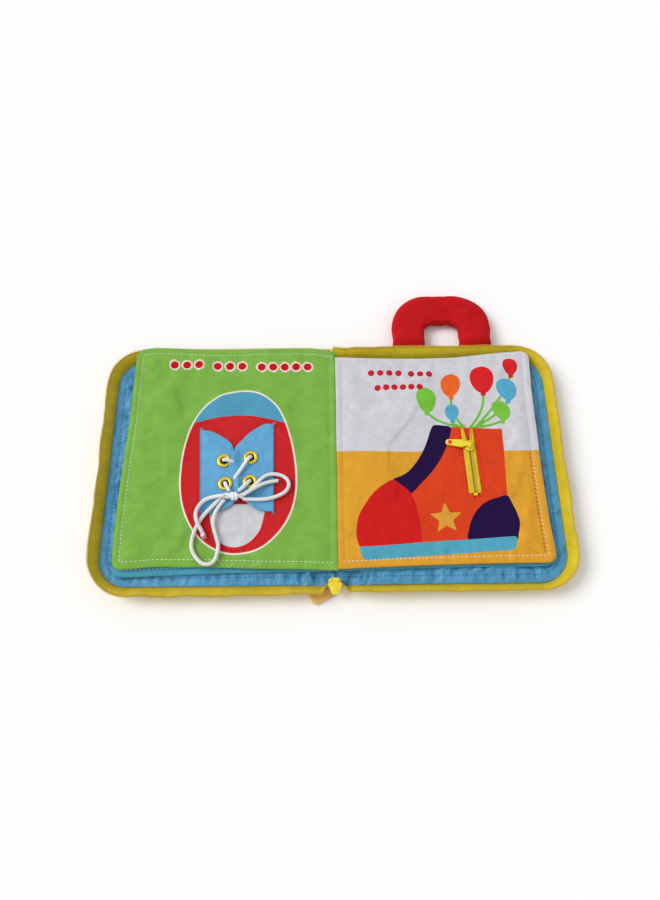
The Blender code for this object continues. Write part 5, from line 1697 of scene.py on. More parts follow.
def signed_power(value: Array, power: float) -> Array:
    """Raises a number to a power and keeps its sign."""
    return np.sign(value) * np.abs(value) ** power


def pebble(middle: Sequence[float], radii: Sequence[float], square: float = 0.45,
           turn: float = 0.0, slot: int = 0) -> Shape:
    """A rounded block: cosines and sines of two angles, each raised to a power below 1.

    Args:
        middle: its middle.
        radii: half its length, width and height.
        square: the power; the lower it is, the flatter are its sides.
        turn: its turn about an upright axis in degrees.
        slot: its material slot.

    Returns:
        A closed shape.
    """
    a = np.linspace(-math.pi / 2, math.pi / 2, 12)[1:-1][:, None]
    b = np.linspace(0, math.tau, 24, endpoint=False)[None]
    level = signed_power(np.cos(a), square)
    x = radii[0] * level * signed_power(np.cos(b), square)
    y = radii[1] * level * signed_power(np.sin(b), square)
    z = radii[2] * signed_power(np.sin(a), square) * np.ones_like(b)
    c, s = math.cos(math.radians(turn)), math.sin(math.radians(turn))
    grid = np.stack([x * c - y * s, x * s + y * c, z], axis=-1).reshape(-1, 3)
    points = np.concatenate([grid, [[0, 0, -radii[2]], [0, 0, radii[2]]]]) + np.asarray(middle)
    return shaped(points, pointed(*x.shape), slot)


def tongue(root: float, widest: float, tip: float, neck: float, shoulder: float,
           length: float) -> Array:
    """A pull's outline along +x: a narrow neck, a smooth shoulder and a round tip.

    Args:
        root: half its width at the neck.
        widest: half its width at the shoulder.
        tip: radius of its tip.
        neck: where the neck ends.
        shoulder: where it is widest.
        length: where it ends.

    Returns:
        The outline's corners, turning to the left.
    """
    s = np.linspace(0, 1, 12)
    x = neck + (shoulder - neck) * s
    half = root + (widest - root) * rise(s, 0, 1)
    start = math.asin(min(1, tip / widest)) if tip < widest else math.pi / 2
    turn = np.linspace(-start, start, 15)
    arc = np.column_stack([length - tip + tip * np.cos(turn), tip * np.sin(turn)])
    lower = np.column_stack([np.concatenate([[-0.0012], x]), -np.concatenate([[root], half])])
    return np.vstack([lower, arc, lower[::-1] * [1, -1]])


@dataclass
class MainSlider:
    """The big zip's slider over the spine's near end, its pull and the folded tape end."""

    tab_start: Place = (-0.0010, -0.11035)
    tab_turn: float = 200.0
    tab_length: float = 0.0200
    tab_width: float = 0.0085

    def build(self, finishes: dict[Book, Finish]) -> None:
        """Builds the slider, its pull and the tape end.

        Args:
            finishes: the book's finishes.
        """
        low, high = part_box("main_slider")
        y, top = (low.y + high.y) / 2, high.z
        roof = top - 0.0038 - 0.0012
        body = [pebble((0, y, roof + 0.0006), (0.0052, 0.0029, 0.0008), 0.35),
                pebble((0, y - 0.0021, roof - 0.0006), (0.0050, 0.0006, 0.0016), 0.3),
                pebble((0, y + 0.0021, roof - 0.0006), (0.0050, 0.0006, 0.0016), 0.3)]
        pull_low, pull_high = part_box("main_pull")
        axis_y, axis_z = pull_high.y - 0.0011, (pull_low.z + pull_high.z) / 2
        for x in (-0.0031, 0.0031):
            body.append(pebble((x, axis_y, roof + 0.0030), (0.0006, 0.0013, 0.0020), 0.35))
        pin = np.array([[-0.0035, axis_y, axis_z], [0, axis_y, axis_z], [0.0035, axis_y, axis_z]])
        body.append(tube(pin, 0.0006, 10))
        sewn_on("main_zip_slider", join(body), [finishes[Book.PLASTIC]], "main_slider",
                "main_slider", sharp=60.0)
        outline = tongue(0.0021, 0.0052, 0.0036, 0.0020, 0.0034, 0.0113)
        placed = np.column_stack([outline[:, 1], axis_y - outline[:, 0]])
        shapes = [rounded_plate(placed[::-1], axis_z - 0.0011, axis_z + 0.0011, 0.0006),
                  pebble((0, axis_y - 0.0073, axis_z + 0.0010), (0.0030, 0.0026, 0.0004), 0.8)]
        sewn_on("main_zip_pull", join(shapes), [finishes[Book.PLASTIC]], "main_pull",
                "main_pull", sharp=60.0)
        self.build_tab(finishes[Book.TAPE_END])

    def build_tab(self, finish: Finish) -> None:
        """Builds the folded tape end: a band that doubles back on itself, a little twisted.

        Args:
            finish: the tape end's finish.
        """
        turn = math.radians(self.tab_turn)
        ahead = np.array([math.cos(turn), math.sin(turn)])
        aside = np.array([-ahead[1], ahead[0]])
        s = np.linspace(0, 1, 34)[:, None]
        w = np.linspace(-1, 1, 12)[None]
        run = np.where(s < 0.5, s * 2, 2 - 2 * s)
        layer = 0.00045 + 0.0012 * rise(s, 0.46, 0.54) + 0.0009 * rise(s, 0.7, 1.0)
        wave = 0.0003 * np.sin(9 * run + 2.2 * w) * (0.4 + run)
        taper = 0.62 + 0.38 * rise(run, 0.0, 0.6)
        along = run * self.tab_length * (1 - 0.02 * w)
        start = np.array(self.tab_start)
        xy = (start + ahead * along[..., None]
              + aside * (w * taper * self.tab_width / 2)[..., None])
        curl = 0.0016 * rise(run, 0.55, 1.0) * (0.5 + 0.5 * w) ** 2
        z = layer + np.abs(wave) + curl + 0.0004
        middle = np.concatenate([xy, (z * np.ones_like(w))[..., None]], axis=-1)
        half = np.array([0, 0, 0.00028])
        uv = np.stack([np.broadcast_to(w * self.tab_width / 2, along.shape),
                       np.broadcast_to(s * 2 * self.tab_length, along.shape)], axis=-1)
        sewn_on("zip_end_fold", pillow(middle + half, middle - half, uv), [finish], "spine",
                "zip_end_tab", sharp=70.0)


@dataclass
class Handle:
    """The stuffed handle: a bent tube whose section is a squared circle.

    Each ring has cosines and sines raised to a power. The tube swells from its flat sewn
    ends, has a sunk seam along its inner and outer sides, and is gathered at the inner bends.
    """

    left: float = 0.0575
    right: float = 0.1502
    far: float = 0.1710
    wide: float = 0.0302
    thick: float = 0.0138
    bend: float = 0.0225
    base_y: float = 0.1055
    base_z: float = 0.0012
    swell: float = 0.0170
    sides: int = 40

    def middle_line(self, step: float) -> Array:
        """The tube's middle line: a leg, two quarter circles and a leg."""
        a, b = self.left + self.wide / 2, self.right - self.wide / 2
        top = self.far - self.wide / 2
        turn = np.linspace(0, math.pi / 2, 14)
        r = self.bend
        line = np.vstack([
            [[a, self.base_y]],
            np.column_stack([a + r * (1 - np.cos(turn)), top - r + r * np.sin(turn)]),
            np.column_stack([b - r + r * np.sin(turn), top - r + r * np.cos(turn)]),
            [[b, self.base_y]]])
        return evenly(line, step)[0]

    def rings(self, step: float, sides: int, power: float) -> tuple[Array, Array, Array]:
        """Places on the tube.

        Args:
            step: distance between two rings.
            sides: points in a ring.
            power: how square the section is.

        Returns:
            Points, the way along the tube, and the turn of each point of a ring.
        """
        line = self.middle_line(step)
        ahead = unit(np.gradient(line, axis=0))
        aside = np.column_stack([ahead[:, 1], -ahead[:, 0]])
        reach = np.clip((line[:, 1] - self.base_y) / self.swell, 0, 1)
        thick = 0.0020 + (self.thick - 0.0020) * reach * (1 + 0.35 * reach * (1 - reach))
        middle = self.base_z + (thick - 0.0020) / 2
        turn = np.linspace(0, math.tau, sides, endpoint=False)
        c, s = signed_power(np.cos(turn), power), signed_power(np.sin(turn), power)
        corner = np.abs(2 * ahead[:, 0] * ahead[:, 1])[:, None]
        wide = self.wide / 2 + corner * np.where(c < 0, 0.0013, 0.0)[None]
        xy = line[:, None] + aside[:, None] * (wide * c[None])[..., None]
        z = middle[:, None] + thick[:, None] / 2 * s[None]
        return np.concatenate([xy, z[..., None]], axis=-1), run_along(line), turn

    def build(self, finishes: dict[Book, Finish]) -> None:
        """Builds the handle and settles it under pressure.

        Args:
            finishes: the book's finishes.
        """
        coarse, run, turn = self.rings(0.0050, 20, 0.72)
        held = np.repeat((1 - rise(run, 0.004, 0.034)
                          + 1 - rise(run[-1] - run, 0.004, 0.034))[:, None], 20, axis=1)
        wide = np.concatenate([coarse, coarse[:, :1]], axis=1)
        held = np.concatenate([held, held[:, :1]], axis=1).clip(0, 1)
        seam = 0.85 * (np.abs(np.cos(np.concatenate([turn, [0]]))) > 0.98)[None]
        held = np.maximum(held, seam)
        settling = Settling(ease=0.020, pressure=1.5, bending=0.6, cap=0.0008)
        moved = settling.run("handle_settle", wide, held)

        points, along, turn = self.rings(0.0016, self.sides, 0.72)
        rows = spline_weights(np.linspace(0, 1, len(along)), moved.shape[0])
        cols = spline_weights(turn / math.tau, moved.shape[1])
        points = points + np.einsum("ai,ijk,bj->abk", rows, moved, cols)
        inner = np.maximum(np.cos(turn), 0)[None] ** 2
        bends = bump(points[:, 0, 1], self.far - self.wide, 0.012)
        folds = ripples(along[:, None], 0.002 * turn[None], 0.0045, 0.010, 91)
        gather = 0.00018 * inner * folds * bends[:, None]
        seam = 0.0007 * bump(np.sin(turn), 0, 0.10)[None]
        soft = 0.00022 * ripples(along[:, None], 0.012 * turn[None], 0.012, 0.035, 93)
        middle = points.mean(axis=1, keepdims=True)
        away = unit(points - middle)
        fade = rise(along, 0, 0.02) * rise(along[-1] - along, 0, 0.02)
        points = points + away * ((gather + soft - seam) * fade[:, None])[..., None]
        flat = points.reshape(-1, 3)
        flat[:, 2] = np.maximum(flat[:, 2], 0.00022)
        uv = np.stack(np.meshgrid(along, turn * 0.011, indexing="ij")[::-1], axis=-1)
        shape = shaped(flat, capped(*points.shape[:2]), uv=uv)
        piece = make_piece("handle_padded", shape, [finishes[Book.HANDLE]], sharp=75.0)
        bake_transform(piece)
        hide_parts("handle_sleeve", "handle_stuffing")


# The laced shoe


def lace_routes() -> dict[str, list[Spot]]:
    """Routes of the lace, by CAD node: points chosen along its middle line."""
    upper_right = [
        (-0.0715, 0.0038, 0.0162), (-0.0716, 0.0036, 0.0184), (-0.0735, 0.0010, 0.0197),
        (-0.0768, -0.0040, 0.0192), (-0.0800, -0.0090, 0.0184), (-0.0830, -0.0132, 0.0176),
        (-0.0842, -0.0151, 0.0170), (-0.0844, -0.0156, 0.0162)]
    upper_left = [
        (-0.0945, 0.0010, 0.0162), (-0.0944, 0.0010, 0.0184), (-0.0922, 0.0006, 0.0197),
        (-0.0884, -0.0003, 0.0188), (-0.0860, -0.0010, 0.0174), (-0.0855, -0.0012, 0.0163)]
    lower_left = [
        (-0.0925, -0.0200, 0.0162), (-0.0924, -0.0202, 0.0184), (-0.0914, -0.0226, 0.0197),
        (-0.0895, -0.0256, 0.0198), (-0.0884, -0.0283, 0.0199)]
    lower_right = [
        (-0.0715, -0.0182, 0.0162), (-0.0716, -0.0184, 0.0184), (-0.0732, -0.0208, 0.0197),
        (-0.0770, -0.0248, 0.0198), (-0.0806, -0.0283, 0.0199)]
    right_loop = [
        (-0.0762, -0.0306, 0.0189), (-0.0715, -0.0276, 0.0190), (-0.0665, -0.0225, 0.0188),
        (-0.0618, -0.0170, 0.0182), (-0.0565, -0.0133, 0.0178), (-0.0510, -0.0124, 0.0177),
        (-0.0445, -0.0136, 0.0169), (-0.0396, -0.0172, 0.0167), (-0.0383, -0.0225, 0.0166),
        (-0.0410, -0.0278, 0.0166), (-0.0470, -0.0316, 0.0170), (-0.0545, -0.0342, 0.0178),
        (-0.0630, -0.0352, 0.0183), (-0.0705, -0.0350, 0.0187), (-0.0765, -0.0347, 0.0189)]
    right_end = [
        (-0.0765, -0.0327, 0.0228), (-0.0725, -0.0303, 0.0229), (-0.0668, -0.0262, 0.0216),
        (-0.0610, -0.0221, 0.0192), (-0.0545, -0.0196, 0.0180), (-0.0472, -0.0182, 0.0172)]
    left_loop = [
        (-0.0920, -0.0308, 0.0186), (-0.0970, -0.0352, 0.0182), (-0.1033, -0.0420, 0.0179),
        (-0.1090, -0.0485, 0.0177), (-0.1130, -0.0545, 0.0170), (-0.1168, -0.0640, 0.0166),
        (-0.1180, -0.0730, 0.0166), (-0.1162, -0.0795, 0.0166), (-0.1128, -0.0845, 0.0166),
        (-0.1085, -0.0884, 0.0166), (-0.1038, -0.0895, 0.0166), (-0.0995, -0.0877, 0.0166),
        (-0.0969, -0.0828, 0.0166), (-0.0958, -0.0742, 0.0166), (-0.0978, -0.0665, 0.0166),
        (-0.0998, -0.0605, 0.0167), (-0.1008, -0.0550, 0.0171), (-0.1003, -0.0495, 0.0178),
        (-0.0982, -0.0437, 0.0181), (-0.0950, -0.0388, 0.0184), (-0.0920, -0.0350, 0.0186)]
    left_end = [
        (-0.0916, -0.0329, 0.0224), (-0.0960, -0.0329, 0.0220), (-0.1020, -0.0334, 0.0204),
        (-0.1080, -0.0350, 0.0190), (-0.1126, -0.0395, 0.0190), (-0.1150, -0.0450, 0.0198),
        (-0.1150, -0.0505, 0.0206), (-0.1132, -0.0560, 0.0203), (-0.1108, -0.0602, 0.0184),
        (-0.1096, -0.0628, 0.0174)]
    return {"lace_upper_right": upper_right, "lace_upper_left": upper_left,
            "lace_lower_left": lower_left, "lace_lower_right": lower_right,
            "lace_right_loop": right_loop, "lace_right_end": right_end,
            "lace_left_loop": left_loop, "lace_left_end": left_end}


@dataclass
class Flap:
    """One sewn flap of the shoe: a ruled sheet from its sewn edge to its curved free edge."""

    word: str
    sewn: tuple[Place, Place]
    free: tuple[Place, ...]
    eyelets: tuple[Place, ...]
    seed: int
    over: float = 0.0
    curl: float = 0.0012

    def height(self, u: Array, x: Array, y: Array) -> Array:
        """Height of the cloth's middle: it rises off the page away from its sewn edge."""
        curl = 0.0005 * rise(u, 0.05, 0.5)
        curl = curl + self.curl * rise(u, 0.72, 1.0) * rise(-y, 0.008, 0.018)
        wave = 0.00022 * ripples(x, y, 0.010, 0.026, self.seed) * rise(u, 0.0, 0.3)
        flat = np.ones(np.shape(u))
        for a, b in self.eyelets:
            flat = np.minimum(flat, rise(np.hypot(x - a, y - b), 0.0055, 0.0095))
        bulge = self.over * bump(y, 0.0010, 0.0105) * rise(-x, 0.0790, 0.0865)
        lift = (curl + wave) * flat
        return 0.01525 + np.maximum(lift, -0.00015) + bulge

    def grid(self, step: float) -> Array:
        """The sheet's points, by rows from the sewn edge to the free one.

        Args:
            step: distance between two places.

        Returns:
            A grid of points.
        """
        (x0, y0), (x1, y1) = self.sewn
        curve = smooth_line(np.array(self.free) * MM, step)
        rows = len(curve)
        share = np.linspace(0, 1, rows)
        level = np.clip(curve[:, 1], y1, y0)
        mixed = (y0 + (y1 - y0) * share) * 0.35 + level * 0.65
        edge_x = x0 + (x1 - x0) * (y0 - mixed) / (y0 - y1)
        cols = int(0.031 / step)
        u = np.linspace(0, 1, cols)[None] * np.ones((rows, 1))
        x = edge_x[:, None] * (1 - u) + curve[:, :1] * u
        y = mixed[:, None] * (1 - u) + curve[:, 1:] * u
        ragged = 0.00030 * ripples(y, x, 0.0012, 0.004, self.seed + 2) * rise(u, 0.9, 1.0)
        x = x + ragged * rise(np.abs(y), 0.022, 0.030)
        return np.stack([x, y, self.height(u, x, y)], axis=-1)

    def build(self, finish: Finish) -> Array:
        """Builds the flap, with its two eyelet holes left open.

        Args:
            finish: the flap's finish.

        Returns:
            The grid of its points.
        """
        points = self.grid(0.0008)
        rows, cols = points.shape[:2]
        faces = quads(rows, cols)
        flat = points.reshape(-1, 3)
        middle = flat[faces].mean(axis=1)
        keep = np.ones(len(faces), bool)
        for a, b in self.eyelets:
            keep &= np.hypot(middle[:, 0] - a, middle[:, 1] - b) > 0.0041
        piece = make_piece(f"{self.word}_shoe_flap", shaped(flat, [faces[keep]]), [finish])
        sheet = piece.modifiers.new("cloth_thickness", "SOLIDIFY")
        sheet.thickness = 0.0006
        sheet.offset = 0.0
        sheet.use_even_offset = False
        ride_page(piece, "leaf_2")
        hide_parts(f"{self.word}_lace_flap")
        return points


def hair(start: Sequence[float], turn: float, length: float, bend: float,
         radius: float = 0.00013) -> Shape:
    """A loose thread end: a thin tube along an arc that lies on the cloth.

    Args:
        start: where it leaves the cloth.
        turn: direction it sets off in, in degrees.
        length: its length.
        bend: how far it turns on its way, in degrees.
        radius: half its width.

    Returns:
        A closed shape.
    """
    s = np.linspace(0, 1, 8)
    heading = np.radians(turn + bend * s)
    step = length / 7
    x = start[0] + np.concatenate([[0], np.cumsum(np.cos(heading[:-1]) * step)])
    y = start[1] + np.concatenate([[0], np.cumsum(np.sin(heading[:-1]) * step)])
    z = start[2] + 0.0006 * np.sin(math.pi * s) + 0.0001
    return tube(np.column_stack([x, y, z]), radius * (1 - 0.4 * s), 6)


@dataclass
class ShoeLacing:
    """The shoe's two flaps with their eyelets, and the tied lace."""

    flaps: tuple[Flap, Flap]
    thick: float = 0.0032
    knot: Spot = (-0.0841, -0.0326, 0.0202)
    hole: float = 0.0030
    flange: float = 0.0062

    def build_cords(self, finish: Finish) -> None:
        """Builds the lace: four short strands, two loops and two ends, and its knots.

        Args:
            finish: the lace's finish.
        """
        routes = lace_routes()
        tips = self.build_end_knot(finish, routes["lace_left_end"])
        for node, route in routes.items():
            path = smooth_line(route, 0.0010)
            size = np.full(len(path), self.thick / 2)
            piece = sewn_on(f"{node}_cord", tube(path, size, 14), [finish], "leaf_2", node,
                            page=-1)
        self.build_knot(finish)

    def build_end_knot(self, finish: Finish, route: list[Spot]) -> list[Piece]:
        """Builds the small knot at the tip of the left end: a helix of one and a half turns.

        Args:
            finish: the lace's finish.
            route: the left end's route.

        Returns:
            The knot, in a list.
        """
        tip, before = np.array(route[-1]), np.array(route[-2])
        heading = unit(tip - before)
        low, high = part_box("lace_end_knot")
        middle = np.array([(low.x + high.x) / 2, (low.y + high.y) / 2, 0.0173])
        side = np.array([-heading[1], heading[0], 0])
        over = np.array([0, 0, 1.0])
        t = np.linspace(0, 1, 40)
        turn = t * math.tau * 1.6
        path = (middle + np.outer((t - 0.5) * 0.0016, heading)
                + 0.00105 * (np.outer(np.cos(turn), side) + np.outer(np.sin(turn), over)))
        frayed = middle + heading * 0.0016
        shapes = [tube(path, 0.00115, 12)]
        for k, lean in enumerate((-28, -8, 12, 30)):
            start = frayed + side * 0.0005 * (k - 1.5)
            turned = math.degrees(math.atan2(heading[1], heading[0])) + lean
            shapes.append(hair(start - np.array([0, 0, 0.0004]), turned, 0.0022, 12.0, 0.00022))
        return [sewn_on("lace_tip_knot", join(shapes), [finish], "leaf_2", "lace_end_knot",
                        page=-1)]

    def build_knot(self, finish: Finish) -> None:
        """Builds the bow's knot: two wraps of a helix round two crossing strands.

        Args:
            finish: the lace's finish.
        """
        x, y, z = self.knot
        t = np.linspace(0, 1, 70)
        turn = -math.pi / 2 + t * math.tau * 2.0
        lean = 0.0011 * np.sin(turn)
        helix = np.column_stack([x - 0.0026 + 0.0050 * t + lean, y + 0.00225 * np.cos(turn),
                                 z + 0.00165 * np.sin(turn)])
        size = self.thick / 2 * (1 - 0.25 * np.abs(2 * t - 1) ** 6)
        strand = smooth_line([(x - 0.0078, y + 0.0019, z - 0.0008),
                              (x - 0.004, y + 0.0010, z + 0.0002),
                              (x + 0.0015, y + 0.0002, z - 0.0004),
                              (x + 0.0079, y + 0.0018, z - 0.0010)], 0.0008)
        other = smooth_line([(x - 0.0076, y - 0.0012, z + 0.0018),
                             (x - 0.003, y - 0.0008, z + 0.0004),
                             (x + 0.003, y + 0.0002, z + 0.0010),
                             (x + 0.0076, y - 0.0012, z - 0.0008)], 0.0008)
        shapes = [tube(helix, size, 12), tube(strand, 0.00150, 12), tube(other, 0.00150, 12)]
        sewn_on("lace_bow_knot", join(shapes), [finish], "leaf_2", "lace_knot", page=-1)

    def build(self, finishes: dict[Book, Finish]) -> None:
        """Builds the flaps, the eyelets, the seams and the loose threads.

        Args:
            finishes: the book's finishes.
        """
        seams, hairs = [], []
        for flap in self.flaps:
            points = flap.build(finishes[Book.FLAP])
            inner = points[:, 0]
            turn = math.copysign(1, points[0, -1, 0] - points[0, 0, 0])
            line = inner + np.array([turn * 0.0006, 0, 0.0004])
            even = smooth_line(line[::6], 0.0009)
            over = np.tile([0.0, 0.0, 1.0], (len(even), 1))
            seams.append(stitches(even, over, 0.0029, 0.0019, THREAD))
            hairs += self.frays(flap, points)
            self.build_eyelets(flap, finishes[Book.BRASS], finishes[Book.EYELET_SHADE])
        loose = [hair((-0.0645, -0.0905, 0.0144), 25, 0.0062, 50, 0.00016),
                 hair((-0.0645, -0.0905, 0.0144), 190, 0.0040, -30, 0.00016),
                 hair((-0.0872, -0.0921, 0.0144), 40, 0.0065, -30, 0.00016),
                 hair((-0.0956, -0.0830, 0.0144), -75, 0.0090, 40, 0.00013),
                 hair((-0.1020, -0.0842, 0.0144), -60, 0.0060, 30, 0.00013)]
        for name, shapes, finish in (("shoe_flap_seams", seams, Book.BLUE_THREAD),
                                     ("flap_frays", hairs, Book.FLAP),
                                     ("left_page_threads", loose, Book.WHITE_THREAD)):
            sewn_on(name, join(shapes), [finishes[finish]], "leaf_2", page=-1)

    def frays(self, flap: Flap, points: Array) -> list[Shape]:
        """Loose threads at a flap's raw ends, by a fixed seed.

        Args:
            flap: the flap.
            points: its grid.

        Returns:
            The threads.
        """
        rng = np.random.default_rng(flap.seed)
        found = []
        cols = points.shape[1]
        for row, heading in ((0, 90.0), (-1, -90.0)):
            for _ in range(13):
                start = points[row, int(rng.uniform(0.05, 0.98) * cols)]
                found.append(hair(start + np.array([0, 0, -0.0002]),
                                  heading + rng.uniform(-55, 55), rng.uniform(0.0012, 0.0036),
                                  rng.uniform(-70, 70), 0.00012))
        for k in (0.06, 0.12, 0.2, 0.88, 0.94):
            start = points[int(k * len(points)), -1]
            found.append(hair(start - np.array([0, 0, 0.0002]), rng.uniform(0, 360), 0.0026,
                              rng.uniform(-70, 70), 0.00012))
        return found

    def build_eyelets(self, flap: Flap, finish: Finish, hole: Finish) -> None:
        """Builds a flap's two eyelets: a rolled rim and a barrel over a black disc of painted
        shade.

        Args:
            flap: the flap.
            finish: the eyelets' finish.
            hole: the black disc's finish, painted shade for the inside of the hole.
        """
        for level, middle in zip(("upper", "lower"), flap.eyelets):
            turn = np.linspace(0, math.pi, 9)
            rim = 0.0159
            half = (self.flange - self.hole) / 2
            rolled = np.column_stack([self.hole + half - half * np.cos(turn),
                                      rim + 0.0002 + 0.0011 * np.sin(turn) ** 0.8])
            profile = np.vstack([rolled, [[self.flange - 0.0002, rim], [0.0036, rim],
                                          [0.0035, 0.01485], [0.0030, 0.01485]]])
            # A black disc under the barrel: painted shade for the inside of the hole.
            shade_disc = pebble((middle[0], middle[1], 0.01485), (0.0034, 0.0034, 0.00022), 0.9,
                          slot=1)
            sewn_on(f"{level}_{flap.word}_brass_eyelet",
                    join([lathe(profile, middle, 40), shade_disc]), [finish, hole], "leaf_2",
                    f"{level}_{flap.word}_eyelet", page=-1, sharp=55.0)


# The boot's zip


@dataclass
class BootZip:
    """The little zip sewn on the boot: two tapes, two coils, a stop, a slider and its pull."""

    middle: Place = (0.1186, 0.0126)
    turn: float = 2.3
    above: float = 0.0172
    below: float = 0.0430
    edge: float = 0.0052
    teeth: float = 0.0013
    rate: float = 0.16
    left_seam: float = -0.0068
    right_seam: float = 0.0085

    def world(self, u: Array | float, v: Array | float) -> tuple[Array, Array]:
        """Turns places across and along the zip into the book's x and y."""
        c, s = math.cos(math.radians(self.turn)), math.sin(math.radians(self.turn))
        return self.middle[0] + u * c - v * s, self.middle[1] + u * s + v * c

    def local(self, x: Array, y: Array) -> tuple[Array, Array]:
        """Turns the book's x and y into places across and along the zip."""
        c, s = math.cos(math.radians(self.turn)), math.sin(math.radians(self.turn))
        a, b = x - self.middle[0], y - self.middle[1]
        return a * c + b * s, b * c - a * s

    def tucks(self, x: Array, y: Array) -> Array:
        """Short gathers beside the two seams and below the zip."""
        u, v = self.local(x, y)
        low = -self.below - 0.0030
        along = rise(v, low - 0.001, low + 0.004) * rise(-v, -0.017, -0.010)
        beside = (bump(u, self.left_seam, 0.0032)
                  + bump(u, self.right_seam, 0.0036)) * along
        across = rise(u, self.left_seam - 0.002, self.left_seam + 0.002) \
            * rise(-u, -self.right_seam - 0.002, -self.right_seam + 0.002)
        under = bump(v, low, 0.0030) * across
        return 0.00042 * (beside * ripples(v, 0.2 * u, 0.0022, 0.0055, 71)
                          + under * ripples(u, 0.2 * v, 0.0022, 0.0055, 72))

    def build(self, finishes: dict[Book, Finish], leaf: Leaf, face: Array) -> None:
        """Builds the whole zip.

        Args:
            finishes: the book's finishes.
            leaf: the boot's leaf.
            face: grid of the leaf's upper face.
        """
        for word, sign in (("left", -1), ("right", 1)):
            self.build_tape(word, sign, finishes[Book.TAPE])
            self.build_row(word, sign, finishes[Book.COIL])
        x, y = self.world(0.0, -self.below - 0.0014)
        sewn_on("boot_zip_end_stop",
                pebble((x, y, 0.0156), (0.0016, 0.0011, 0.0007), 0.5, self.turn),
                [finishes[Book.PLASTIC]], "leaf_3", "boot_zip_stop", page=1, sharp=60.0)
        self.build_slider(finishes)
        low = -self.below - 0.0030
        corners = np.array([(self.left_seam, self.above), (self.left_seam, low),
                            (self.right_seam, low), (self.right_seam, self.above)])
        line = np.vstack([np.linspace(a, b, 40)[:-1] for a, b in zip(corners[:-1], corners[1:])])
        x, y = self.world(line[:, 0], line[:, 1])
        path, over = leaf.on_face(face, np.column_stack([x, y]), 1)
        hairs = [hair((0.1105, 0.0305, 0.0143), 150, 0.0050, -160, 0.00016),
                 hair((0.1165, 0.0308, 0.0143), 70, 0.0042, 120, 0.00016),
                 hair((0.1210, 0.0300, 0.0143), 60, 0.0046, -120, 0.00016),
                 hair((0.1640, -0.0805, 0.0146), -60, 0.0042, 60, 0.00014),
                 hair((0.1290, -0.0330, 0.0143), -20, 0.0032, 90, 0.00014)]
        sewn_on("boot_zip_seams", join([stitches(path, over, 0.0026, 0.0018, 0.00024)] + hairs),
                [finishes[Book.ORANGE_THREAD]], "leaf_3", page=1)

    def inner(self, v: Array) -> Array:
        """How far the two rows stand from the zip's middle: they part above the slider."""
        return 0.00055 + self.rate * np.maximum(v - 0.001, 0)

    def build_tape(self, word: str, sign: int, finish: Finish) -> None:
        """Builds one tape, as a thin pad with a slightly rounded rim.

        Args:
            word: left or right.
            sign: -1 on the left and 1 on the right.
            finish: the tape's finish.
        """
        v = np.linspace(-self.below, self.above, 80)[:, None]
        share = np.linspace(0, 1, 9)[None]
        u = self.inner(v) + (self.edge - self.inner(v)) * share
        x, y = self.world(sign * u, v + 0 * share)
        swell = 0.00018 * np.sin(math.pi * share) + 0.00005 * ripples(x, y, 0.005, 0.015, 75)
        top = np.stack([x, y, 0.0153 + swell], axis=-1)
        low = np.stack([x, y, 0.01495 + 0 * swell], axis=-1)
        uv = np.stack([u, v + 0 * share], axis=-1)
        sewn_on(f"boot_zip_{word}_band", pillow(top, low, uv, 0.00012), [finish], "leaf_3",
                f"boot_zip_{word}_tape", page=1, sharp=70.0)

    def build_row(self, word: str, sign: int, finish: Finish) -> None:
        """Builds one row of the coil, with its cord.

        Args:
            word: left or right.
            sign: -1 on the left and 1 on the right.
            finish: the coil's finish.
        """
        v = np.arange(-self.below + 0.0006, self.above - 0.0004, 0.00115)
        v = v + (0.00055 if sign > 0 else 0.0)
        u = sign * (self.inner(v) + 0.00020)
        x, y = self.world(u, v)
        middle = np.column_stack([x, y, np.full(len(v), 0.0158)])
        c, s = math.cos(math.radians(self.turn)), math.sin(math.radians(self.turn))
        across = np.tile([c, s, 0.0], (len(v), 1))
        along = np.tile([-s, c, 0.0], (len(v), 1))
        up = np.tile([0.0, 0.0, 1.0], (len(v), 1))
        core_x, core_y = self.world(sign * (self.inner(v) + 0.0008), v)
        core = np.column_stack([core_x, core_y, np.full(len(v), 0.0157)])
        turns = coil_turns(middle, across * 0.00072, along * 0.00042, up * 0.00060)
        sewn_on(f"boot_zip_{word}_coil", join([turns, tube(core, 0.00050, 8)]), [finish],
                "leaf_3", f"boot_zip_{word}_teeth", page=1)

    def build_slider(self, finishes: dict[Book, Finish]) -> None:
        """Builds the slider, its pull and the pull's button.

        Args:
            finishes: the book's finishes.
        """
        corners = smooth_line([(0.0026, -0.0044), (0.0036, 0.0010), (0.0033, 0.0040),
                               (0.0012, 0.0045), (0.0, 0.0036), (-0.0012, 0.0045),
                               (-0.0033, 0.0040), (-0.0036, 0.0010), (-0.0026, -0.0044),
                               (0.0, -0.0048)], 0.0006, ring=True)
        plate = np.column_stack(self.world(corners[:, 0], corners[:, 1]))
        axis = np.array([*self.world(0.0, 0.0), 0.0194])
        turn = math.radians(170.0)
        ahead = np.array([math.cos(turn), math.sin(turn), 0])
        aside = np.array([-ahead[1], ahead[0], 0])
        lips = []
        for sign in (-1, 1):
            lips.append(pebble((*self.world(sign * 0.0031, -0.0004), 0.0160),
                               (0.00045, 0.0036, 0.0011), 0.4, self.turn))
            ear = axis + aside * sign * 0.0029 - np.array([0, 0, 0.0010])
            lips.append(pebble(ear, (0.0014, 0.00055, 0.0019), 0.4, 170.0))
        pin = axis + np.outer(np.linspace(-0.0032, 0.0032, 5), aside)
        body = [rounded_plate(plate, 0.0166, 0.0178, 0.0005), tube(pin, 0.00055, 10)] + lips
        sewn_on("boot_zip_slider", join(body), [finishes[Book.PLASTIC]], "boot_slider",
                "boot_slider", page=1, sharp=60.0)
        droop = math.radians(8.0)
        down = ahead * math.cos(droop) - np.array([0, 0, math.sin(droop)])
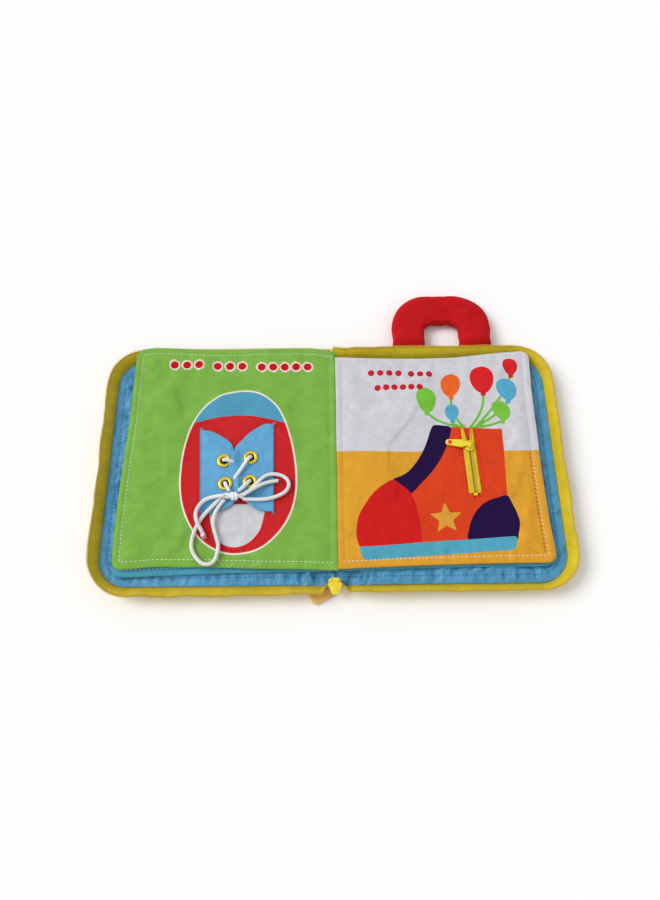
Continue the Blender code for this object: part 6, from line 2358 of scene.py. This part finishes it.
        over = np.cross(down, aside)
        if over[2] < 0:
            over = -over
        frame = np.array([down, aside, over])
        outline = tongue(0.0020, 0.0036, 0.0030, 0.0034, 0.0071, 0.0210)
        pull = rounded_plate(outline, -0.0011, 0.0011, 0.0005)
        pull.points = pull.points @ frame + axis
        groove = lathe([(0.00185, 0.00105), (0.0021, 0.00135), (0.0025, 0.00135),
                        (0.0027, 0.00105)], (0.0172, 0.0), 28)
        groove.points = groove.points @ frame + axis
        sewn_on("boot_zip_pull", join([pull, groove]), [finishes[Book.PLASTIC]], "boot_pull",
                "boot_pull", page=1, sharp=60.0)
        button = pebble((0.0172, 0.0, 0.00105), (0.0017, 0.0017, 0.0006), 0.8)
        button.points = button.points @ frame + axis
        sewn_on("boot_pull_button", button, [finishes[Book.RIVET]], "boot_pull",
                "boot_pull_rivet", page=1)


def build_binding(word: str, side: int, finish: Finish) -> None:
    """Builds the narrow tape that joins a side's two leaves, standing on edge in the gutter.

    Args:
        word: left or right.
        side: -1 on the left and 1 on the right.
        finish: its finish.
    """
    low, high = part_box(f"{word}_hinge_tape")
    y = np.linspace(low.y, high.y, int((high.y - low.y) / 0.002) + 1)[:, None]
    z = np.linspace(low.z, high.z, 5)[None]
    x = side * (0.00065 + 0.00008 * ripples(y, z, 0.004, 0.012, 83 + side))
    uv = np.stack(np.broadcast_arrays(z, y), axis=-1)
    halves = [np.stack(np.broadcast_arrays(x + sign * 0.0002, y, z), axis=-1)
              for sign in (1, -1)]
    sewn_on(f"{word}_binding_band", pillow(*halves, uv), [finish], f"{word}_binding",
            f"{word}_hinge_tape", sharp=60.0)


# The studio


@dataclass
class Studio:
    """The view, the light and the floor."""

    place: Spot = (-0.00504, -0.21370, 0.56960)
    pitch: float = 68.0
    yaw: float = 0.563
    roll: float = -0.068
    lens: float = 27.46
    sky: float = 0.60
    key: float = 1.78

    def build(self) -> None:
        """Sets the camera, the light and the floor up."""
        bpy.context.scene.view_settings.view_transform = "Standard"
        self.build_camera()
        self.build_light()
        self.build_floor()

    def build_camera(self) -> None:
        """Places the camera at the photograph's viewpoint."""
        pitch, yaw, roll = (math.radians(v) for v in (self.pitch, self.yaw, self.roll))
        ahead = np.array([math.sin(yaw) * math.cos(pitch), math.cos(yaw) * math.cos(pitch),
                          -math.sin(pitch)])
        right = np.array([math.cos(yaw), -math.sin(yaw), 0.0])
        up = np.cross(right, ahead)
        across = right * math.cos(roll) + up * math.sin(roll)
        over = up * math.cos(roll) - right * math.sin(roll)
        matrix = np.eye(4)
        matrix[:3, 0], matrix[:3, 1], matrix[:3, 2] = across, over, -ahead
        matrix[:3, 3] = self.place
        view = bpy.data.cameras.new("view")
        view.lens = self.lens
        view.sensor_width = 36.0
        view.clip_start = 0.01
        camera = bpy.data.objects.new("view", view)
        camera.matrix_world = Matrix(matrix.tolist())
        bpy.context.collection.objects.link(camera)
        bpy.context.scene.camera = camera

    def build_light(self) -> None:
        """Lights the book from an even sky and one soft lamp on the left and behind it."""
        world = bpy.data.worlds.new("sky")
        world.use_nodes = True
        tree = world.node_tree
        tree.nodes.clear()
        path = add(tree, "ShaderNodeLightPath")
        seen = compute(tree, "MAXIMUM", path.outputs["Is Camera Ray"],
                       path.outputs["Is Glossy Ray"])
        seen = compute(tree, "MAXIMUM", seen, path.outputs["Is Transmission Ray"])
        level = ranged(tree, seen, (0.0, 1.0), (self.sky, 1.0))
        sky = add(tree, "ShaderNodeBackground", {"Color": (1.0, 1.0, 1.0, 1.0),
                                                 "Strength": level})
        add(tree, "ShaderNodeOutputWorld", {"Surface": sky.outputs[0]})
        bpy.context.scene.world = world
        lamp = bpy.data.lights.new("window", "SUN")
        lamp.energy = self.key
        lamp.angle = math.radians(32.0)
        light = bpy.data.objects.new("window", lamp)
        light.rotation_euler = Vector((-0.70, 0.16, 0.70)).to_track_quat("Z", "Y").to_euler()
        bpy.context.collection.objects.link(light)

    def build_floor(self) -> None:
        """Lays a plain pale floor just under the book."""
        finish, _, shader = blank_finish("white_floor")
        shader.inputs["Base Color"].default_value = linear("#FFFFFF")
        shader.inputs["Roughness"].default_value = 0.9
        shader.inputs["Specular IOR Level"].default_value = 0.0
        reach = 3.0
        mesh = bpy.data.meshes.new("floor")
        mesh.from_pydata([(-reach, -reach, -FLOOR_DROP), (reach, -reach, -FLOOR_DROP),
                          (reach, reach, -FLOOR_DROP), (-reach, reach, -FLOOR_DROP)], [],
                         [(0, 1, 2, 3)])
        mesh.materials.append(finish)
        floor = bpy.data.objects.new("floor", mesh)
        bpy.context.collection.objects.link(floor)


# The book


LEFT_FLAP = Flap(
    "left", ((-0.1171, 0.0287), (-0.1125, -0.0481)),
    ((-115.4, 30.4), (-106.4, 28.6), (-96.7, 23.4), (-88.6, 16.5), (-85.4, 6.0),
     (-83.6, -8.0), (-80.6, -19.0), (-80.4, -30.0), (-87.0, -39.7), (-99.4, -45.1),
     (-112.7, -48.0)),
    ((-0.0945, 0.0010), (-0.0925, -0.0200)), 31)
RIGHT_FLAP = Flap(
    "right", ((-0.0521, 0.0348), (-0.0505, -0.0453)),
    ((-52.3, 34.9), (-61.0, 35.0), (-71.8, 28.2), (-80.1, 19.8), (-85.0, 13.1),
     (-88.3, 3.1), (-89.8, -8.4), (-81.0, -18.3), (-78.2, -31.9), (-71.1, -39.1),
     (-63.5, -43.9), (-50.4, -45.3)),
    ((-0.0715, 0.0038), (-0.0715, -0.0182)), 37, over=0.0030)


def leaf_outline(inner: float, near: Span, far: Span) -> Outline:
    """The outline of a leaf with those inner, near and far edges."""
    return Outline(inner, 0.1830, near, far, 0.008, 0.001)


def build_book(finishes: dict[Book, Finish]) -> None:
    """Builds every part of the book.

    Args:
        finishes: the book's finishes.
    """
    zip_ = BootZip()
    under_left = Leaf("leaf_1", -1, leaf_outline(0.0013, (-0.0945, -0.0980), (0.1085, 0.1105)),
                      LOWER_LEAF, ("left_binding", "leaf_1"), 0.0026, 11, lift=0.0008,
                      room=0.0002, fore_bow=((-98, 0.0), (-33, -0.8), (8, -2.0), (42, -4.0),
                                             (110, -5.5)))
    shoe = Leaf("leaf_2", -1, leaf_outline(-0.0026, (-0.0935, -0.0935), (0.1135, 0.1140)),
                UPPER_LEAF, ("leaf_1", "leaf_2"), 0.0011, 13, print_=ShoePrint(),
                quiet=(-0.120, -0.045, -0.050, 0.040),
                far_bow=((-3, -5.5), (2, -3.4), (18, -0.2), (35, 0.3), (68, 0.1), (92, -0.6),
                         (117, -0.3), (150, 1.2), (167, 1.4), (183, -0.6)),
                near_bow=((-3, -1.2), (26, -0.3), (62, 0.0), (106, 1.8), (150, 2.8),
                          (180, 1.0)),
                fore_bow=((-94, -0.2), (-86, 0.0), (-64, 0.6), (-33, 0.2), (8, -1.0),
                          (42, -2.6), (72, -2.6), (112, -3.0)))
    boot = Leaf("leaf_3", 1, leaf_outline(0.0030, (-0.0935, -0.0900), (0.1030, 0.1090)),
                UPPER_LEAF, ("leaf_4", "leaf_3"), 0.0011, 17, print_=BootPrint(),
                rows=((0.0058, 0.0, 1.0), (0.0086, 0.32, 0.50)),
                quiet=(0.108, 0.130, -0.035, 0.032), tucks=zip_.tucks,
                far_bow=((3, 0.6), (37, -1.9), (75, -3.4), (114, -3.8), (153, -1.5),
                         (183, -0.4)),
                fore_bow=((-92, 0.0), (-86, -0.4), (-55, -2.4), (-9, -3.4), (31, -3.2),
                          (72, -2.8), (105, -1.2)))
    under_right = Leaf("leaf_4", 1, leaf_outline(0.0013, (-0.0945, -0.0920), (0.1005, 0.1060)),
                       LOWER_LEAF, ("right_binding", "leaf_4"), 0.0026, 19, lift=0.0008,
                       room=0.0002, fore_bow=((-94, -0.8), (-55, -4.0), (31, -5.0),
                                              (106, -4.0)))
    lacing = ShoeLacing((LEFT_FLAP, RIGHT_FLAP))
    lacing.build_cords(finishes[Book.LACE])
    under_left.build(finishes, Book.TEAL_PAGE, Book.WHITE_PAGE, (Book.WHITE_THREAD,))
    under_right.build(finishes, Book.TEAL_PAGE, Book.WHITE_PAGE, (Book.WHITE_THREAD,))
    shoe.build(finishes, Book.SHOE_PAGE, Book.WHITE_PAGE, (Book.WHITE_THREAD,))
    boot_face = boot.build(finishes, Book.BOOT_PAGE, Book.WHITE_PAGE,
                           (Book.WHITE_THREAD, Book.ORANGE_THREAD))
    lacing.build(finishes)
    zip_.build(finishes, boot, boot_face)
    Cover(-1, "left", push=0.0022).build(finishes, shoe.outline)
    Cover(1, "right").build(finishes, boot.outline)
    halves = (ZipHalf(-1, "left", 60.0, lean_fore=28.0, stands_far=0.0100, push=0.0022),
              ZipHalf(1, "right", 38.0, lean_near=32.0, lean_fore=27.0))
    # The left half takes the tape's copy with painted shade.
    for half, tape in zip(halves, (Book.LEFT_TAPE_SHADED_COPY, Book.TAPE)):
        half.build_tape(finishes[tape])
        half.build_coil(finishes[Book.COIL])
        build_binding(half.word, half.side, finishes[Book.LINING])
    MainSlider().build(finishes)
    Handle().build(finishes)


def main() -> None:
    """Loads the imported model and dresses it."""
    logging.basicConfig(level=logging.INFO, format="%(message)s")
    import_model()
    Studio().build()
    build_book(dressed())


if __name__ == "__main__":
    main()
